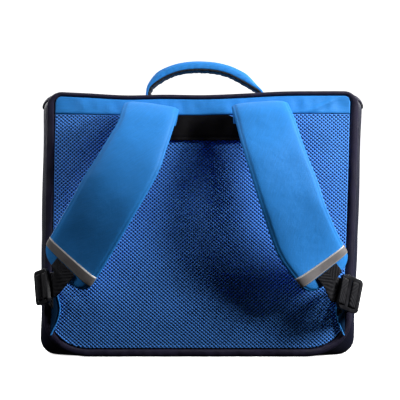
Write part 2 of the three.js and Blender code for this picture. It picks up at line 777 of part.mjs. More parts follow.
// Cloth tab over the binding at a lower corner
function cornerTab(side) {
  const outer = bagWidth / 2 - tabEdge;
  const rim = tabRows.map((row) => (
    { x: side * (outer - tabReach * row.in), z: tabFoot + tabHeight * row.up }
  ));
  const face = (lift) => rim.map(({ x, z }) => onBack(x, z, lift));
  const low = bindingThick + gap;
  return loft([face(low), face(low + clothThick)]);
}

// The handle's line between sleeve and webbing: across is a share of its span, up of its rise
const handleRows = [
  { across: -0.5, up: 0 },
  { across: -0.5, up: 0.2 },
  { across: -0.47, up: 0.43 },
  { across: -0.36, up: 0.72 },
  { across: -0.23, up: 0.92 },
  { across: -0.08, up: 1 },
  { across: 0.07, up: 0.96 },
  { across: 0.2, up: 0.82 },
  { across: 0.31, up: 0.6 },
  { across: 0.41, up: 0.36 },
  { across: 0.48, up: 0.17 },
  { across: 0.5, up: 0.07 },
  { across: 0.5, up: 0 },
];

function handleLine() {
  const read = smoothRows(handleRows, ['across', 'up']);
  const seat = rimHeight(handleBack - handleWidth / 2) + gap + flapThick + 2 * gap;
  return (share) => {
    const row = read(share);
    const x = handleAside + handleSpan * row.across;
    const centre = stand(x, handleBack - bagDepth / 2, seat + handleRise * row.up);
    return { centre, across: new THREE.Vector3(0, 1, 0), half: handleWidth / 2 };
  };
}

function handleGrip() {
  const cut = strip(handleLine(), evenly(22), padSection,
    () => gap / 2, (share, point) => gap / 2 + gripEdge + (gripThick - gripEdge) * point.rise);
  return quilt(cut.map(({ upper }) => upper), cut.map(({ under }) => under));
}

function handleWebbing() {
  return tapeSolid(handleLine(), evenly(22), -gap / 2 - webbingThick * 1.4, -gap / 2);
}

function clasp(name, side) {
  const shape = roundedShape(claspWidth, claspHeight, claspRound);
  const bevel = claspThick / 4;
  const geometry = new THREE.ExtrudeGeometry(shape, {
    depth: claspThick - 2 * bevel, bevelThickness: bevel, bevelSize: bevel, bevelOffset: -bevel,
    bevelSegments: 1, curveSegments: 4,
  });
  geometry.translate(0, 0, bevel);
  const mesh = addPiece(`clasp_${name}`, geometry, plastic);
  const low = rimHeight(bagDepth) - frontRound - flapFront + flapBindingWidth;
  mesh.rotation.set(-Math.PI / 2, 0, 0);
  mesh.position.copy(stand(
    side * claspSpread / 2, bagDepth / 2 + gap + flapThick + gap, low + claspAbove + claspHeight / 2,
  ));
}

addPiece('body_shell', bodyShell(), navy);
addPiece('back_panel', backPanel(), meshBlue);
addPiece('top_band', topBand(), skyBlue);
addPiece('back_binding', backBinding(), navy);
addPiece('anchor_patch', anchorPatch(), black);
for (const [name, strap] of Object.entries(straps)) {
  addPiece(`strap_pad_${name}`, strapPad(strap), skyBlue);
  addPiece(`strap_tape_${name}`, strapTape(strap), reflective);
  addPiece(`strap_webbing_${name}`, strapWebbing(strap, buckleRows[name]), black);
  addPiece(`lower_webbing_${name}`, lowerWebbing(buckleRows[name]), black);
  addPiece(`corner_tab_${name}`, cornerTab(strap.side), skyBlue);
  buckle(name, buckleRows[name]);
  clasp(name, strap.side);
}
addPiece('handle_grip', handleGrip(), skyBlue);
addPiece('handle_webbing', handleWebbing(), black);
addPiece('flap', flapSheet(), skyBlue);
addPiece('flap_binding', flapBinding(), navy);

export default bag;
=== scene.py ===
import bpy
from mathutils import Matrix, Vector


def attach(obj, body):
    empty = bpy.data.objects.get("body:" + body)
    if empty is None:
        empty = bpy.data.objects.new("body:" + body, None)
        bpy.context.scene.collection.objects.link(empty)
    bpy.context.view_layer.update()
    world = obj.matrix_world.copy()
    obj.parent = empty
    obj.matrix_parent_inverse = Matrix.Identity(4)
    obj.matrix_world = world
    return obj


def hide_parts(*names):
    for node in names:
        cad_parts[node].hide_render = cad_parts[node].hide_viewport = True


bl_info = {
    "name": "School ransel",
    "version": (1, 0, 0),
    "blender": (4, 5, 0),
    "location": "3D View > Sidebar > Ransel",
    "description": "Builds the cloth, mesh, straps and stage of a school ransel on its packed frame",
    "category": "Object",
}

import math

import bmesh
import bpy
import numpy as np

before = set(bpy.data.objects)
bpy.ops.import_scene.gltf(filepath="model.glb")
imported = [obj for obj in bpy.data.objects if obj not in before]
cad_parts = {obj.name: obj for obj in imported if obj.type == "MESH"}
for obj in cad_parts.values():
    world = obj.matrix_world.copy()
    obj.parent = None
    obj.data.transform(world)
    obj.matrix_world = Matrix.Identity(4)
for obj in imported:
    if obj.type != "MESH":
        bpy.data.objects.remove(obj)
MM = 0.001
OWN = "finish_"
TAU = 2 * math.pi


def length_property(name, description, millimetres):
    return bpy.props.FloatProperty(
        name=name, description=description, default=millimetres * MM, unit="LENGTH", min=0.0)


def colour_property(name, description, red, green, blue):
    return bpy.props.FloatVectorProperty(
        name=name, description=description, default=(red, green, blue), subtype="COLOR", size=3, min=0, max=1)


class RanselSizes(bpy.types.PropertyGroup):
    """Sizes that the pieces share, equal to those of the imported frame"""
    bag_width: length_property("Bag width", "Width of the back panel with its binding", 375)
    bag_height: length_property("Bag height", "Height of the back panel", 320)
    bag_depth: length_property("Bag depth", "Depth of the box", 160)
    side_swell: length_property("Side swell", "How far the sides bulge", 10)
    wall: length_property("Wall", "Thickness of the box's wall", 3)
    foot_corner: length_property("Foot corner", "Rounding of the box's lower corners", 20)
    rim_corner: length_property("Rim corner", "Rounding of the box's upper corners", 14)
    back_round: length_property("Back rounding", "Rounding of the box's back edges", 5)
    front_round: length_property("Front rounding", "Rounding of the box's front edges", 18)
    rim_below_top: length_property("Rim below top", "Drop from the panel's top to the rim", 6)
    rim_fall: length_property("Rim fall", "Fall of the rim from back to front", 7)
    top_lean: length_property("Top lean", "How far the top stands to the right of the foot", 7.5)
    foot_narrow: length_property("Foot narrowing", "How much narrower each side of the foot is", 3)
    top_sag: length_property("Top sag", "Deepest sag of the top edge", 5)
    gap: length_property("Gap", "Space between two pieces that touch", 0.3)
    seam: length_property("Seam", "Space along a seam between two cloths", 0.6)
    binding_width: length_property("Binding width", "Width of the back panel's binding", 10)
    binding_thick: length_property("Binding thickness", "Height of the binding's fold", 6)
    corner_wide: length_property("Panel corner width", "Width of the panel's lower corners", 56)
    corner_high: length_property("Panel corner height", "Height of the panel's lower corners", 44)
    top_corner: length_property("Panel top corner", "Rounding of the panel's upper corners", 18)
    band_height: length_property("Band height", "Height of the cloth band over the mesh", 18)
    panel_edge: length_property("Panel edge", "Thickness of the padded panel at its edge", 4)
    panel_crown: length_property("Panel crown", "Thickness of the padded panel inside", 13)
    crown_ramp: length_property("Crown ramp", "Distance over which the padding rises", 60)
    valley_depth: length_property("Valley depth", "Depth of the channel down the middle", 6)
    valley_width: length_property("Valley width", "Half width of the channel", 26)
    cloth: length_property("Cloth", "Thickness of a sewn cloth patch", 2)
    patch_width: length_property("Patch width", "Width of the strap anchor patch", 132)
    patch_height: length_property("Patch height", "Height of the strap anchor patch", 32)
    patch_offset: length_property("Patch offset", "Place of the patch right of the middle", 5)
    mesh_pitch: length_property("Mesh pitch", "Distance between neighbouring mesh holes in a row", 5)


class StrapSizes(bpy.types.PropertyGroup):
    """Sizes of the arm straps, their webbing and the handle"""
    width: length_property("Strap width", "Width of a padded strap", 76)
    thick: length_property("Strap thickness", "Thickness of a padded strap", 11)
    top: length_property("Strap top", "Height of the straps' upper ends", 300)
    drop: length_property("Strap drop", "Height from a strap's upper end to its lower end", 205)
    reach: length_property("Strap reach", "How far out a strap's lower end lies", 168)
    arch: length_property("Strap arch", "How far a strap arches off the back", 58)
    end_round: length_property("End rounding", "Rounding of a strap's lower end", 18)
    tape_width: length_property("Tape width", "Width of the reflective tape", 12)
    tape_thick: length_property("Tape thickness", "Thickness of the reflective tape", 1.2)
    tape_from_end: length_property("Tape from end", "Distance from the tape to the strap's end", 14)
    webbing_width: length_property("Webbing width", "Width of the webbing", 30)
    webbing_thick: length_property("Webbing thickness", "Thickness of the webbing", 1.6)
    handle_span: length_property("Handle span", "Width of the carrying handle", 137)
    handle_rise: length_property("Handle rise", "Height of the carrying handle", 35)
    handle_width: length_property("Handle width", "Width of the handle's sleeve", 28)
    grip_thick: length_property("Grip thickness", "Thickness of the handle's padding", 8)
    grip_edge: length_property("Grip edge", "Thickness of the handle's sleeve at its edge", 1.5)
    handle_back: length_property("Handle back", "Distance of the handle from the back", 20)
    handle_aside: length_property("Handle aside", "Place of the handle right of the middle", 2)


class FlapSizes(bpy.types.PropertyGroup):
    """Sizes of the flap over the box's top and front"""
    thick: length_property("Flap thickness", "Thickness of the flap", 3)
    over: length_property("Flap overhang", "How far the flap stands out at the sides", 2)
    back_taper: length_property("Flap back taper", "How far the flap draws in under the back binding", 14)
    droop: length_property("Flap droop", "How far the flap droops over the rounded upper corners", 7)
    front: length_property("Flap front", "How far the flap hangs down the front", 190)
    corner: length_property("Flap corner", "Rounding of the flap's lower corners", 40)
    binding_width: length_property("Flap binding width", "Width of the flap's binding", 9)
    binding_thick: length_property("Flap binding thickness", "Thickness of the flap's binding", 5)


class RanselColours(bpy.types.PropertyGroup):
    """Colours of the bag's materials"""
    sky: colour_property("Sky cloth", "Light blue nylon of straps, band and flap", 0.022, 0.262, 0.76)
    mesh_strand: colour_property("Mesh strand", "Blue strands of the air mesh", 0.07, 0.28, 0.95)
    # The holes' dark colour is painted shade, standing in for the shade deep in the holes
    mesh_hole_shade: colour_property("Mesh hole", "Dark holes of the air mesh", 0.002, 0.010, 0.055)
    navy: colour_property("Navy cloth", "Dark cloth of the box", 0.010, 0.011, 0.028)
    binding: colour_property("Binding", "Dark binding tape", 0.012, 0.010, 0.026)
    black: colour_property("Black cloth", "Black cloth of the anchor patch", 0.0025, 0.002, 0.003)
    webbing: colour_property("Webbing", "Black webbing", 0.006, 0.006, 0.008)
    plastic: colour_property("Plastic", "Black moulded plastic", 0.008, 0.008, 0.010)
    reflective: colour_property("Reflective tape", "Grey reflective tape", 0.27, 0.25, 0.25)


SETTINGS = {
    "ransel_sizes": RanselSizes, "ransel_straps": StrapSizes,
    "ransel_flap": FlapSizes, "ransel_colours": RanselColours,
}


def sizes():
    return bpy.context.scene.ransel_sizes


def strap_sizes():
    return bpy.context.scene.ransel_straps


def flap_sizes():
    return bpy.context.scene.ransel_flap


def colours():
    return bpy.context.scene.ransel_colours


def smoothstep(value, low, high):
    share = np.clip((value - low) / (high - low), 0, 1)
    return share * share * (3 - 2 * share)


def row_curve(column, share):
    """Reads a column of equally spaced rows as one smooth curve through them (Catmull-Rom)"""
    values = np.asarray(column, float)
    place = np.clip(share, 0, 1) * (len(values) - 1)
    index = np.floor(place).astype(int)
    rest = place - index
    before, here, after, beyond = (values[np.clip(index + k, 0, len(values) - 1)] for k in (-1, 0, 1, 2))
    leave, arrive = (after - before) / 2, (beyond - here) / 2
    cubic = 2 * here - 2 * after + leave + arrive
    square = -3 * here + 3 * after - 2 * leave - arrive
    return cubic * rest ** 3 + square * rest ** 2 + leave * rest + here


# How far the top edge sags at places from left to right, as shares of the size top_sag
SAG_ROWS = (0.1, 0.5, 1.0, 0.85, 0.95, 0.6, 0.1, 0.0, 0.0)


def stand(x, y, z):
    """Moves points of a straight bag to their places on the soft one that stands"""
    s = sizes()
    x, y, z = np.broadcast_arrays(x, y, z)
    up = z / s.bag_height
    narrow = 1 - s.foot_narrow / (s.bag_width / 2) * (1 - np.minimum(up, 1)) ** 2
    sag = row_curve(SAG_ROWS, x / s.bag_width + 0.5) * smoothstep(up, 0.85, 1)
    return np.stack([x * narrow + s.top_lean * up, y, z - s.top_sag * sag], axis=-1)


def on_back(x, z, lift):
    """Points on the bag's back face, lifted off it towards the wearer"""
    s = sizes()
    return stand(x, -s.bag_depth / 2 - s.gap - lift, z)


def ripple(x, y, seed, wave):
    """Smooth wandering heights between about -1 and 1: a sum of six sines whose directions turn and whose
    lengths lie near one wave"""
    total = 0
    for k in range(6):
        turn = seed * 1.7 + k * 2.399
        length = wave * (0.7 + 0.13 * k)
        way = x * math.cos(turn) + y * math.sin(turn)
        total = total + np.sin(way * TAU / length + seed * 3.1 + k * 1.9)
    return total / 3


def edge_inset(depth, radius):
    """How far a rounded edge draws in at a depth from its end face"""
    left = np.maximum(radius - depth, 0)
    return radius - np.sqrt(radius ** 2 - left ** 2)


def bag_half(depth):
    s = sizes()
    return s.bag_width / 2 + s.side_swell * (1 - (2 * depth / s.bag_depth - 1) ** 4)


def rim_height(depth):
    s = sizes()
    run = s.bag_depth - s.front_round
    return s.bag_height - s.rim_below_top - s.rim_fall * np.minimum(depth, run) / run


# Width of the binding along the top edge, as a share of its width elsewhere
TOP_TUCK = 0.55


def panel_shape():
    """The panel's named edges: its half width, lower edge, mesh top, band top and band corner"""
    s = sizes()
    edge = s.binding_width + s.seam
    return {
        "half": s.bag_width / 2 - edge,
        "low": edge,
        "mesh_top": s.bag_height - s.binding_width - s.band_height,
        "band_top": s.bag_height - s.binding_width * TOP_TUCK - s.seam,
        "band_corner": s.top_corner - edge,
    }


def panel_foot(x):
    """Lowest height of the panel at a distance from its middle, on its elliptical lower corner"""
    s, p = sizes(), panel_shape()
    wide, high = s.corner_wide - p["low"], s.corner_high - p["low"]
    into = np.maximum(np.abs(x) - (p["half"] - wide), 0) / wide
    return p["low"] + high * (1 - np.sqrt(np.maximum(1 - into ** 2, 0)))


def panel_lift(x, z):
    """Thickness of the padded panel: two lobes that fall off to the edges, and a valley between them"""
    s, p = sizes(), panel_shape()
    aside = np.clip((p["half"] - np.abs(x)) / s.crown_ramp, 0, 1)
    upward = np.clip(np.minimum((z - p["low"]) / s.crown_ramp, (p["band_top"] - z) / s.crown_ramp), 0, 1)
    rise = np.sin(aside * math.pi / 2) * np.sin(upward * math.pi / 2)
    valley = np.exp(-(x / s.valley_width) ** 2) * smoothstep(z / s.bag_height, 0.3, 0.65)
    return s.panel_edge + (s.panel_crown - s.panel_edge) * rise - s.valley_depth * rise * valley


def grid_quads(rows, columns):
    """Four corners of each cell of an open grid whose points are listed row by row"""
    first = (np.arange(rows - 1)[:, None] * columns + np.arange(columns - 1)[None, :]).ravel()
    return np.stack([first, first + 1, first + columns + 1, first + columns], axis=-1)


def add_grid(name, points, flat, material):
    """One object from a grid of points with a flat map in metres; points that coincide are joined"""
    rows, columns = points.shape[:2]
    quads = grid_quads(rows, columns)
    data = bpy.data.meshes.new(name)
    data.vertices.add(rows * columns)
    data.vertices.foreach_set("co", points.reshape(-1).astype(np.float32))
    data.loops.add(quads.size)
    data.loops.foreach_set("vertex_index", quads.reshape(-1).astype(np.int32))
    data.polygons.add(len(quads))
    data.polygons.foreach_set("loop_start", np.arange(0, quads.size, 4, dtype=np.int32))
    data.update(calc_edges=True)
    layer = data.uv_layers.new(name="flat")
    layer.uv.foreach_set("vector", flat.reshape(-1, 2)[quads.reshape(-1)].reshape(-1).astype(np.float32))
    mesh = bmesh.new()
    mesh.from_mesh(data)
    bmesh.ops.remove_doubles(mesh, verts=mesh.verts, dist=1e-6)
    bmesh.ops.dissolve_degenerate(mesh, dist=1e-7, edges=mesh.edges)
    bmesh.ops.recalc_face_normals(mesh, faces=mesh.faces)
    if mesh.calc_volume(signed=True) < 0:
        bmesh.ops.reverse_faces(mesh, faces=mesh.faces)
    mesh.to_mesh(data)
    mesh.free()
    piece = bpy.data.objects.new(name, data)
    bpy.context.scene.collection.objects.link(piece)
    data.materials.append(material)
    data.shade_smooth()
    return piece


def closed_sections(sections, flat, ring=False):
    """Closes section loops into a tube: repeats the first point, and closes the ends or the ring"""
    sections = np.concatenate([sections, sections[:, :1]], axis=1)
    last = flat[:, :1].copy()
    last[..., 0] = flat[:, -1:, 0] + (flat[:, -1:, 0] - flat[:, -2:-1, 0])
    flat = np.concatenate([flat, last], axis=1)
    if ring:
        more = flat[:1].copy()
        more[..., 1] = flat[-1:, :, 1] + (flat[-1:, :, 1] - flat[-2:-1, :, 1])
        return np.concatenate([sections, sections[:1]]), np.concatenate([flat, more])
    first, end = (np.repeat(row[:, :-1].mean(axis=1, keepdims=True), sections.shape[1], axis=1)
                  for row in (sections[:1], sections[-1:]))
    return np.concatenate([first, sections, end]), np.concatenate([flat[:1], flat, flat[-1:]])


def closed_piece(name, sections, flat, look, ring=False):
    """One object from section loops closed into a tube, with a look by name"""
    return add_grid(name, *closed_sections(sections, flat, ring), look_of(look))


def spread(across, along):
    """A flat map from its values across each section and along the sections"""
    return np.stack(np.broadcast_arrays(across[None, :], along[:, None]), axis=-1)


def coordinates(piece):
    """Places of a piece's points, as rows of x, y and z"""
    values = np.empty(len(piece.data.vertices) * 3, np.float32)
    piece.data.vertices.foreach_get("co", values)
    return values.reshape(-1, 3).astype(float)


def nearest(points, targets):
    """Distance of each point to the nearest of the targets"""
    return np.linalg.norm(points[:, None] - targets[None], axis=-1).min(axis=1)


def walked(points):
    """Distance walked along the first axis of a list of points"""
    steps = np.linalg.norm(np.diff(points, axis=0), axis=-1)
    return np.concatenate([[0], np.cumsum(steps)])


def soft(piece):
    """One level of smooth subdivision, the same in view and render"""
    modifier = piece.modifiers.new("smooth", "SUBSURF")
    modifier.levels = modifier.render_levels = 1


def finish_piece(piece, nodes):
    """Hangs a piece under the bag's root so that it rides the bag, and hides the CAD nodes that it stands for
    """
    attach(piece, "root")
    if nodes:
        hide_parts(*nodes)
    return piece


def swell(piece, pressure, cap, held=None, frames=20):
    """Cloth simulation under inner pressure with gravity off; no point moves further than the cap.
    held is a list of weights from 0, free, to 1, pinned."""
    scene = bpy.context.scene
    data = piece.data
    start = np.empty(len(data.vertices) * 3, np.float32)
    data.vertices.foreach_get("co", start)
    modifier = piece.modifiers.new("cloth", "CLOTH")
    cloth = modifier.settings
    cloth.quality = 6
    cloth.mass = 0.3
    cloth.tension_stiffness = cloth.compression_stiffness = 25
    cloth.shear_stiffness = 12
    cloth.bending_stiffness = 1.5
    cloth.use_pressure = True
    cloth.uniform_pressure_force = pressure
    cloth.effector_weights.gravity = 0
    modifier.collision_settings.use_collision = False
    modifier.point_cache.frame_start = 1
    modifier.point_cache.frame_end = frames
    if held is not None:
        group = piece.vertex_groups.new(name="held")
        for level in np.unique(np.round(held, 1)):
            if level > 0:
                group.add(np.nonzero(np.round(held, 1) == level)[0].tolist(), float(level), "REPLACE")
        cloth.vertex_group_mass = "held"
    for step in range(1, frames + 1):
        scene.frame_set(step)
    shown = piece.evaluated_get(bpy.context.evaluated_depsgraph_get())
    end = np.empty_like(start)
    shown.data.vertices.foreach_get("co", end)
    piece.modifiers.remove(modifier)
    start, end = start.reshape(-1, 3), end.reshape(-1, 3)
    move = end - start
    far = np.linalg.norm(move, axis=1, keepdims=True)
    move *= np.minimum(1, cap / np.maximum(far, 1e-9))
    if not np.isfinite(move).all():
        raise RuntimeError(f"the simulation of {piece.name} failed")
    data.vertices.foreach_set("co", (start + move).reshape(-1))
    data.update()
    scene.frame_set(1)


class Look:
    """Short way to write a node material: node() adds one node and returns one of its outputs"""

    def __init__(self, name):
        self.material = bpy.data.materials.new(f"{OWN}{name}")
        self.material.use_nodes = True
        self.tree = self.material.node_tree
        self.shader = self.tree.nodes["Principled BSDF"]

    def put(self, socket, value):
        if isinstance(value, bpy.types.NodeSocket):
            self.tree.links.new(value, socket)
        elif socket.type == "RGBA":
            socket.default_value = (*value[:3], 1.0)
        else:
            socket.default_value = value

    def node(self, kind, inputs, output=0, **settings):
        made = self.tree.nodes.new(kind)
        for key, value in settings.items():
            setattr(made, key, value)
        for key, value in inputs.items():
            self.put(made.inputs[key], value)
        return made.outputs[output]

    def set(self, **inputs):
        for key, value in inputs.items():
            self.put(self.shader.inputs[key.replace("_", " ")], value)
        return self.material

    def flat(self):
        return self.node("ShaderNodeUVMap", {}, uv_map="flat")

    def place(self):
        return self.node("ShaderNodeTexCoord", {}, "Object")

    def axis(self, vector, name):
        return self.node("ShaderNodeSeparateXYZ", {0: vector}, name)

    def calc(self, operation, first, second=0.0, third=0.0):
        return self.node("ShaderNodeMath", {0: first, 1: second, 2: third}, operation=operation)

    def stretch(self, vector, scale):
        return self.node("ShaderNodeMapping", {"Vector": vector, "Scale": scale})

    def noise(self, vector, size, detail=2.0):
        return self.node("ShaderNodeTexNoise", {"Vector": vector, "Scale": 1 / size, "Detail": detail})

    def wave(self, vector, pitch, direction="X", distortion=0.0):
        inputs = {"Vector": vector, "Scale": TAU / 20 / pitch, "Distortion": distortion}
        return self.node("ShaderNodeTexWave", inputs, "Fac", bands_direction=direction)

    def mix(self, share, first, second):
        return self.node("ShaderNodeMix", {0: share, 6: first, 7: second}, 2, data_type="RGBA")

    def ramp(self, value, low, high, first=0.0, last=1.0):
        inputs = {0: value, 1: low, 2: high, 3: first, 4: last}
        return self.node("ShaderNodeMapRange", inputs, interpolation_type="SMOOTHSTEP")

    def bump(self, height, distance, strength=1.0, normal=None):
        inputs = {"Height": height, "Distance": distance, "Strength": strength}
        if normal is not None:
            inputs["Normal"] = normal
        return self.node("ShaderNodeBump", inputs)


def shade_of(colour, factor):
    return tuple(min(channel * factor, 1.0) for channel in colour)


def cloth_look(name, colour, thread=1.5, turn=0.0, sheen=0.03, patchy=0.07, gloss=0.3):
    """Woven cloth: two crossed rows of threads over and under each other, slow patches of wear, small
    puckers and single paler threads. thread is in millimetres, turn in degrees."""
    look = Look(name)
    flat = look.node("ShaderNodeMapping", {"Vector": look.flat(), "Rotation": (0, 0, math.radians(turn))})
    across, along = look.wave(flat, thread * MM, "X"), look.wave(flat, thread * MM, "Y")
    between = look.calc("MULTIPLY", look.calc("SUBTRACT", 1.0, across), look.calc("SUBTRACT", 1.0, along))
    checks = look.calc("ADD", look.calc("MULTIPLY", across, along), between)
    slow = look.noise(flat, 0.055, 3.0)
    grain = look.noise(flat, 0.0022, 1.0)
    streaks = look.noise(look.stretch(flat, (0.12, 1.0, 1.0)), 0.0016, 2.0)
    base = look.mix(look.ramp(slow, 0.2, 0.8), shade_of(colour, 1 - patchy), shade_of(colour, 1 + patchy))
    base = look.mix(look.ramp(streaks, 0.35, 0.75, 0.0, 0.35), base, shade_of(colour, 1.25))
    # Painted shade: the valleys between the crossed threads are drawn darker
    base = look.mix(look.ramp(checks, 0.0, 0.5, 0.35, 0.0), base, shade_of(colour, 0.5))
    pucker = look.bump(look.noise(flat, 0.019, 2.0), 1.1 * MM, 0.55)
    weave = look.bump(look.calc("ADD", checks, look.calc("MULTIPLY", grain, 0.6)), 0.2 * MM, 0.9, pucker)
    return look.set(
        Base_Color=base, Normal=weave, Roughness=look.ramp(grain, 0.2, 0.8, 0.49, 0.63),
        Sheen_Weight=sheen, Sheen_Roughness=0.45, Specular_IOR_Level=gloss)


def air_mesh_look(name):
    """Knitted spacer mesh: holes at the crossings of two sets of slanted rows, strands lit between them,
    fine knit ribs along the strands, and slow bands where the knit is stretched or packed"""
    look = Look(name)
    pitch = sizes().mesh_pitch
    bare = look.flat()
    wander = look.node("ShaderNodeTexNoise", {"Vector": bare, "Scale": 60.0, "Detail": 1.0}, "Color")
    shift = look.node("ShaderNodeVectorMath", {0: wander, 1: (0.5, 0.5, 0.5)}, operation="SUBTRACT")
    flat = look.node("ShaderNodeVectorMath", {0: shift, 1: (0.0011,) * 3, 2: bare}, operation="MULTIPLY_ADD")
    u, v = look.axis(flat, "X"), look.axis(flat, "Y")
    columns = look.calc("COSINE", look.calc("MULTIPLY", u, TAU / pitch))
    rows = look.calc("COSINE", look.calc("MULTIPLY", v, TAU / (pitch * MESH_ROW)))
    lattice = look.calc("MULTIPLY", columns, rows)
    hole = look.ramp(lattice, 0.0, 0.5)
    knit = look.wave(flat, 0.75 * MM, "DIAGONAL", 1.5)
    slow = look.noise(bare, 0.05, 2.0)
    strand = look.mix(look.ramp(slow, 0.2, 0.8), shade_of(colours().mesh_strand, 0.92),
                      shade_of(colours().mesh_strand, 1.08))
    # Painted highlight: the knit ribs, which also rise in the bump, are drawn paler
    strand = look.mix(look.calc("MULTIPLY", knit, 0.3), strand, shade_of(colours().mesh_strand, 1.9))
    # Painted shade: the holes are drawn near-black for the shade in their depth
    base = look.mix(hole, strand, colours().mesh_hole_shade)
    height = look.calc("ADD", look.calc("MULTIPLY", lattice, -0.5), look.calc("MULTIPLY", knit, 0.08))
    return look.set(
        Base_Color=base, Roughness=look.ramp(hole, 0.0, 1.0, 0.5, 0.9),
        Sheen_Weight=0.03, Sheen_Roughness=0.4,
        Specular_IOR_Level=0.2, Normal=look.bump(height, 1.3 * MM, 0.9))


def tape_look(name, colour):
    """Ribbed binding tape: ribs across the tape, a coarse twill between them and slow paler and darker
    patches
    """
    look = Look(name)
    flat = look.flat()
    ribs = look.wave(flat, 0.9 * MM, "Y", 0.6)
    twill = look.wave(flat, 1.6 * MM, "DIAGONAL", 1.0)
    slow = look.noise(flat, 0.03, 3.0)
    base = look.mix(look.ramp(slow, 0.3, 0.75), shade_of(colour, 0.75), shade_of(colour, 1.5))
    # Painted highlight: the twill's ridges, which also rise in the bump, are drawn paler
    base = look.mix(look.calc("MULTIPLY", twill, 0.25), base, shade_of(colour, 2.2))
    folds = look.bump(look.noise(flat, 0.012, 2.0), 0.9 * MM, 0.6)
    normal = look.bump(look.calc("ADD", ribs, look.calc("MULTIPLY", twill, 0.4)), 0.16 * MM, 0.9, folds)
    return look.set(Base_Color=base, Roughness=look.ramp(slow, 0.3, 0.7, 0.52, 0.7), Normal=normal,
                    Sheen_Weight=0.04, Sheen_Roughness=0.4, Specular_IOR_Level=0.16)


def webbing_look(name, colour):
    """Polypropylene webbing: wide chevron ribs along it, cross threads and patches of dust"""
    look = Look(name)
    flat = look.flat()
    chevron = look.node("ShaderNodeVectorMath", {0: flat}, operation="ABSOLUTE")
    ribs = look.wave(chevron, 2.4 * MM, "DIAGONAL", 0.4)
    threads = look.wave(flat, 0.8 * MM, "Y", 0.3)
    dust = look.noise(flat, 0.006, 3.0)
    # Painted highlight: the ribs' crests, which also rise in the bump, are drawn paler
    base = look.mix(look.calc("MULTIPLY", ribs, 0.5), colour, shade_of(colour, 2.6))
    base = look.mix(look.ramp(dust, 0.5, 0.8, 0.0, 0.25), base, (0.06, 0.06, 0.07))
    normal = look.bump(look.calc("ADD", ribs, look.calc("MULTIPLY", threads, 0.5)), 0.3 * MM, 0.9)
    return look.set(Base_Color=base, Roughness=look.ramp(dust, 0.3, 0.7, 0.5, 0.68), Normal=normal,
                    Sheen_Weight=0.03, Specular_IOR_Level=0.2)


def plastic_look(name, colour):
    """Moulded black plastic: spark-eroded grain, flow marks, fine scuffs and a softer gloss on worn spots"""
    look = Look(name)
    place = look.place()
    grain = look.noise(place, 0.0007, 2.0)
    flow = look.noise(place, 0.012, 3.0)
    scuffs = look.noise(look.stretch(place, (1.0, 1.0, 0.08)), 0.0011, 3.0)
    base = look.mix(look.ramp(flow, 0.35, 0.7), colour, shade_of(colour, 1.8))
    base = look.mix(look.ramp(scuffs, 0.62, 0.8, 0.0, 0.3), base, (0.07, 0.07, 0.075))
    return look.set(Base_Color=base, Roughness=look.ramp(flow, 0.3, 0.7, 0.3, 0.45),
                    Normal=look.bump(grain, 0.05 * MM, 0.6), Specular_IOR_Level=0.5, Coat_Weight=0.05)


def reflective_look(name, colour):
    """Reflective tape: glass-bead film over a fine cloth, with a woven selvedge line along both edges.
    Its flat map runs across the tape in v, from 0 at one edge to the tape's width at the other."""
    look = Look(name)
    flat = look.flat()
    half = strap_sizes().tape_width / 2
    from_middle = look.calc("ABSOLUTE", look.calc("SUBTRACT", look.axis(flat, "Y"), half))
    edge = look.ramp(from_middle, half * 0.72, half * 0.86)
    beads = look.noise(flat, 0.0009, 2.0)
    slow = look.noise(flat, 0.02, 3.0)
    base = look.mix(look.ramp(slow, 0.3, 0.7), shade_of(colour, 0.8), shade_of(colour, 1.15))
    base = look.mix(look.calc("MULTIPLY", edge, 0.8), base, (0.6, 0.58, 0.55))
    return look.set(Base_Color=base, Roughness=look.ramp(beads, 0.2, 0.8, 0.3, 0.55), Metallic=0.25,
                    Normal=look.bump(beads, 0.1 * MM, 0.8), Specular_IOR_Level=0.6)


# Distance between rows of the mesh's holes, as a share of the distance between its columns
MESH_ROW = 0.86
LOOKS = {
    "sky_cloth": lambda name: cloth_look(name, colours().sky, turn=38),
    "band_cloth": lambda name: cloth_look(name, colours().sky),
    # The tabs' cloth is the sky cloth drawn almost black: painted shade on the tabs
    "tab_cloth_painted_shade": lambda name: cloth_look(name, shade_of(colours().sky, 0.09), gloss=0.1),
    "navy_cloth": lambda name: cloth_look(name, colours().navy, 1.4, sheen=0.02, patchy=0.25, gloss=0.15),
    "black_cloth": lambda name: cloth_look(name, colours().black, 1.6, sheen=0.0, patchy=0.3, gloss=0.08),
    "air_mesh": air_mesh_look,
    "binding": lambda name: tape_look(name, colours().binding),
    "webbing": lambda name: webbing_look(name, colours().webbing),
    "plastic": lambda name: plastic_look(name, colours().plastic),
    "reflective": lambda name: reflective_look(name, colours().reflective),
}


def look_of(name):
    """A material by name, made when it is first asked for"""
    return bpy.data.materials.get(f"{OWN}{name}") or LOOKS[name](name)


def panel_piece(name, columns, heights, lifts, look):
    """A padded sheet on the bag's back: its face is a grid of heights and lifts over columns, closed
    behind by a flat base"""
    face = on_back(columns[:, None], heights, lifts)
    share = np.linspace(1, 0, 3)
    behind = heights[:, :1] + (heights[:, -1:] - heights[:, :1]) * share
    rear = on_back(columns[:, None], behind, 0.0)
    sections = np.concatenate([face, rear], axis=1)
    u = np.broadcast_to(columns[:, None], (len(columns), sections.shape[1]))
    v = np.concatenate([heights, behind], axis=1)
    return closed_piece(name, sections, np.stack([u, v], axis=-1), look)


def sheet_piece(name, upper, under, u, v, look, trim=0):
    """A closed sheet from the grids of its two faces, which share one flat map. trim columns at each side
    of the lower face are left out where the faces meet."""
    flat = np.stack(np.broadcast_arrays(u, v), axis=-1)
    sections, flat = (np.concatenate([first, second[:, trim:second.shape[1] - trim][:, ::-1]], axis=1)
                      for first, second in ((upper, under), (flat, flat)))
    return closed_piece(name, sections, flat, look)


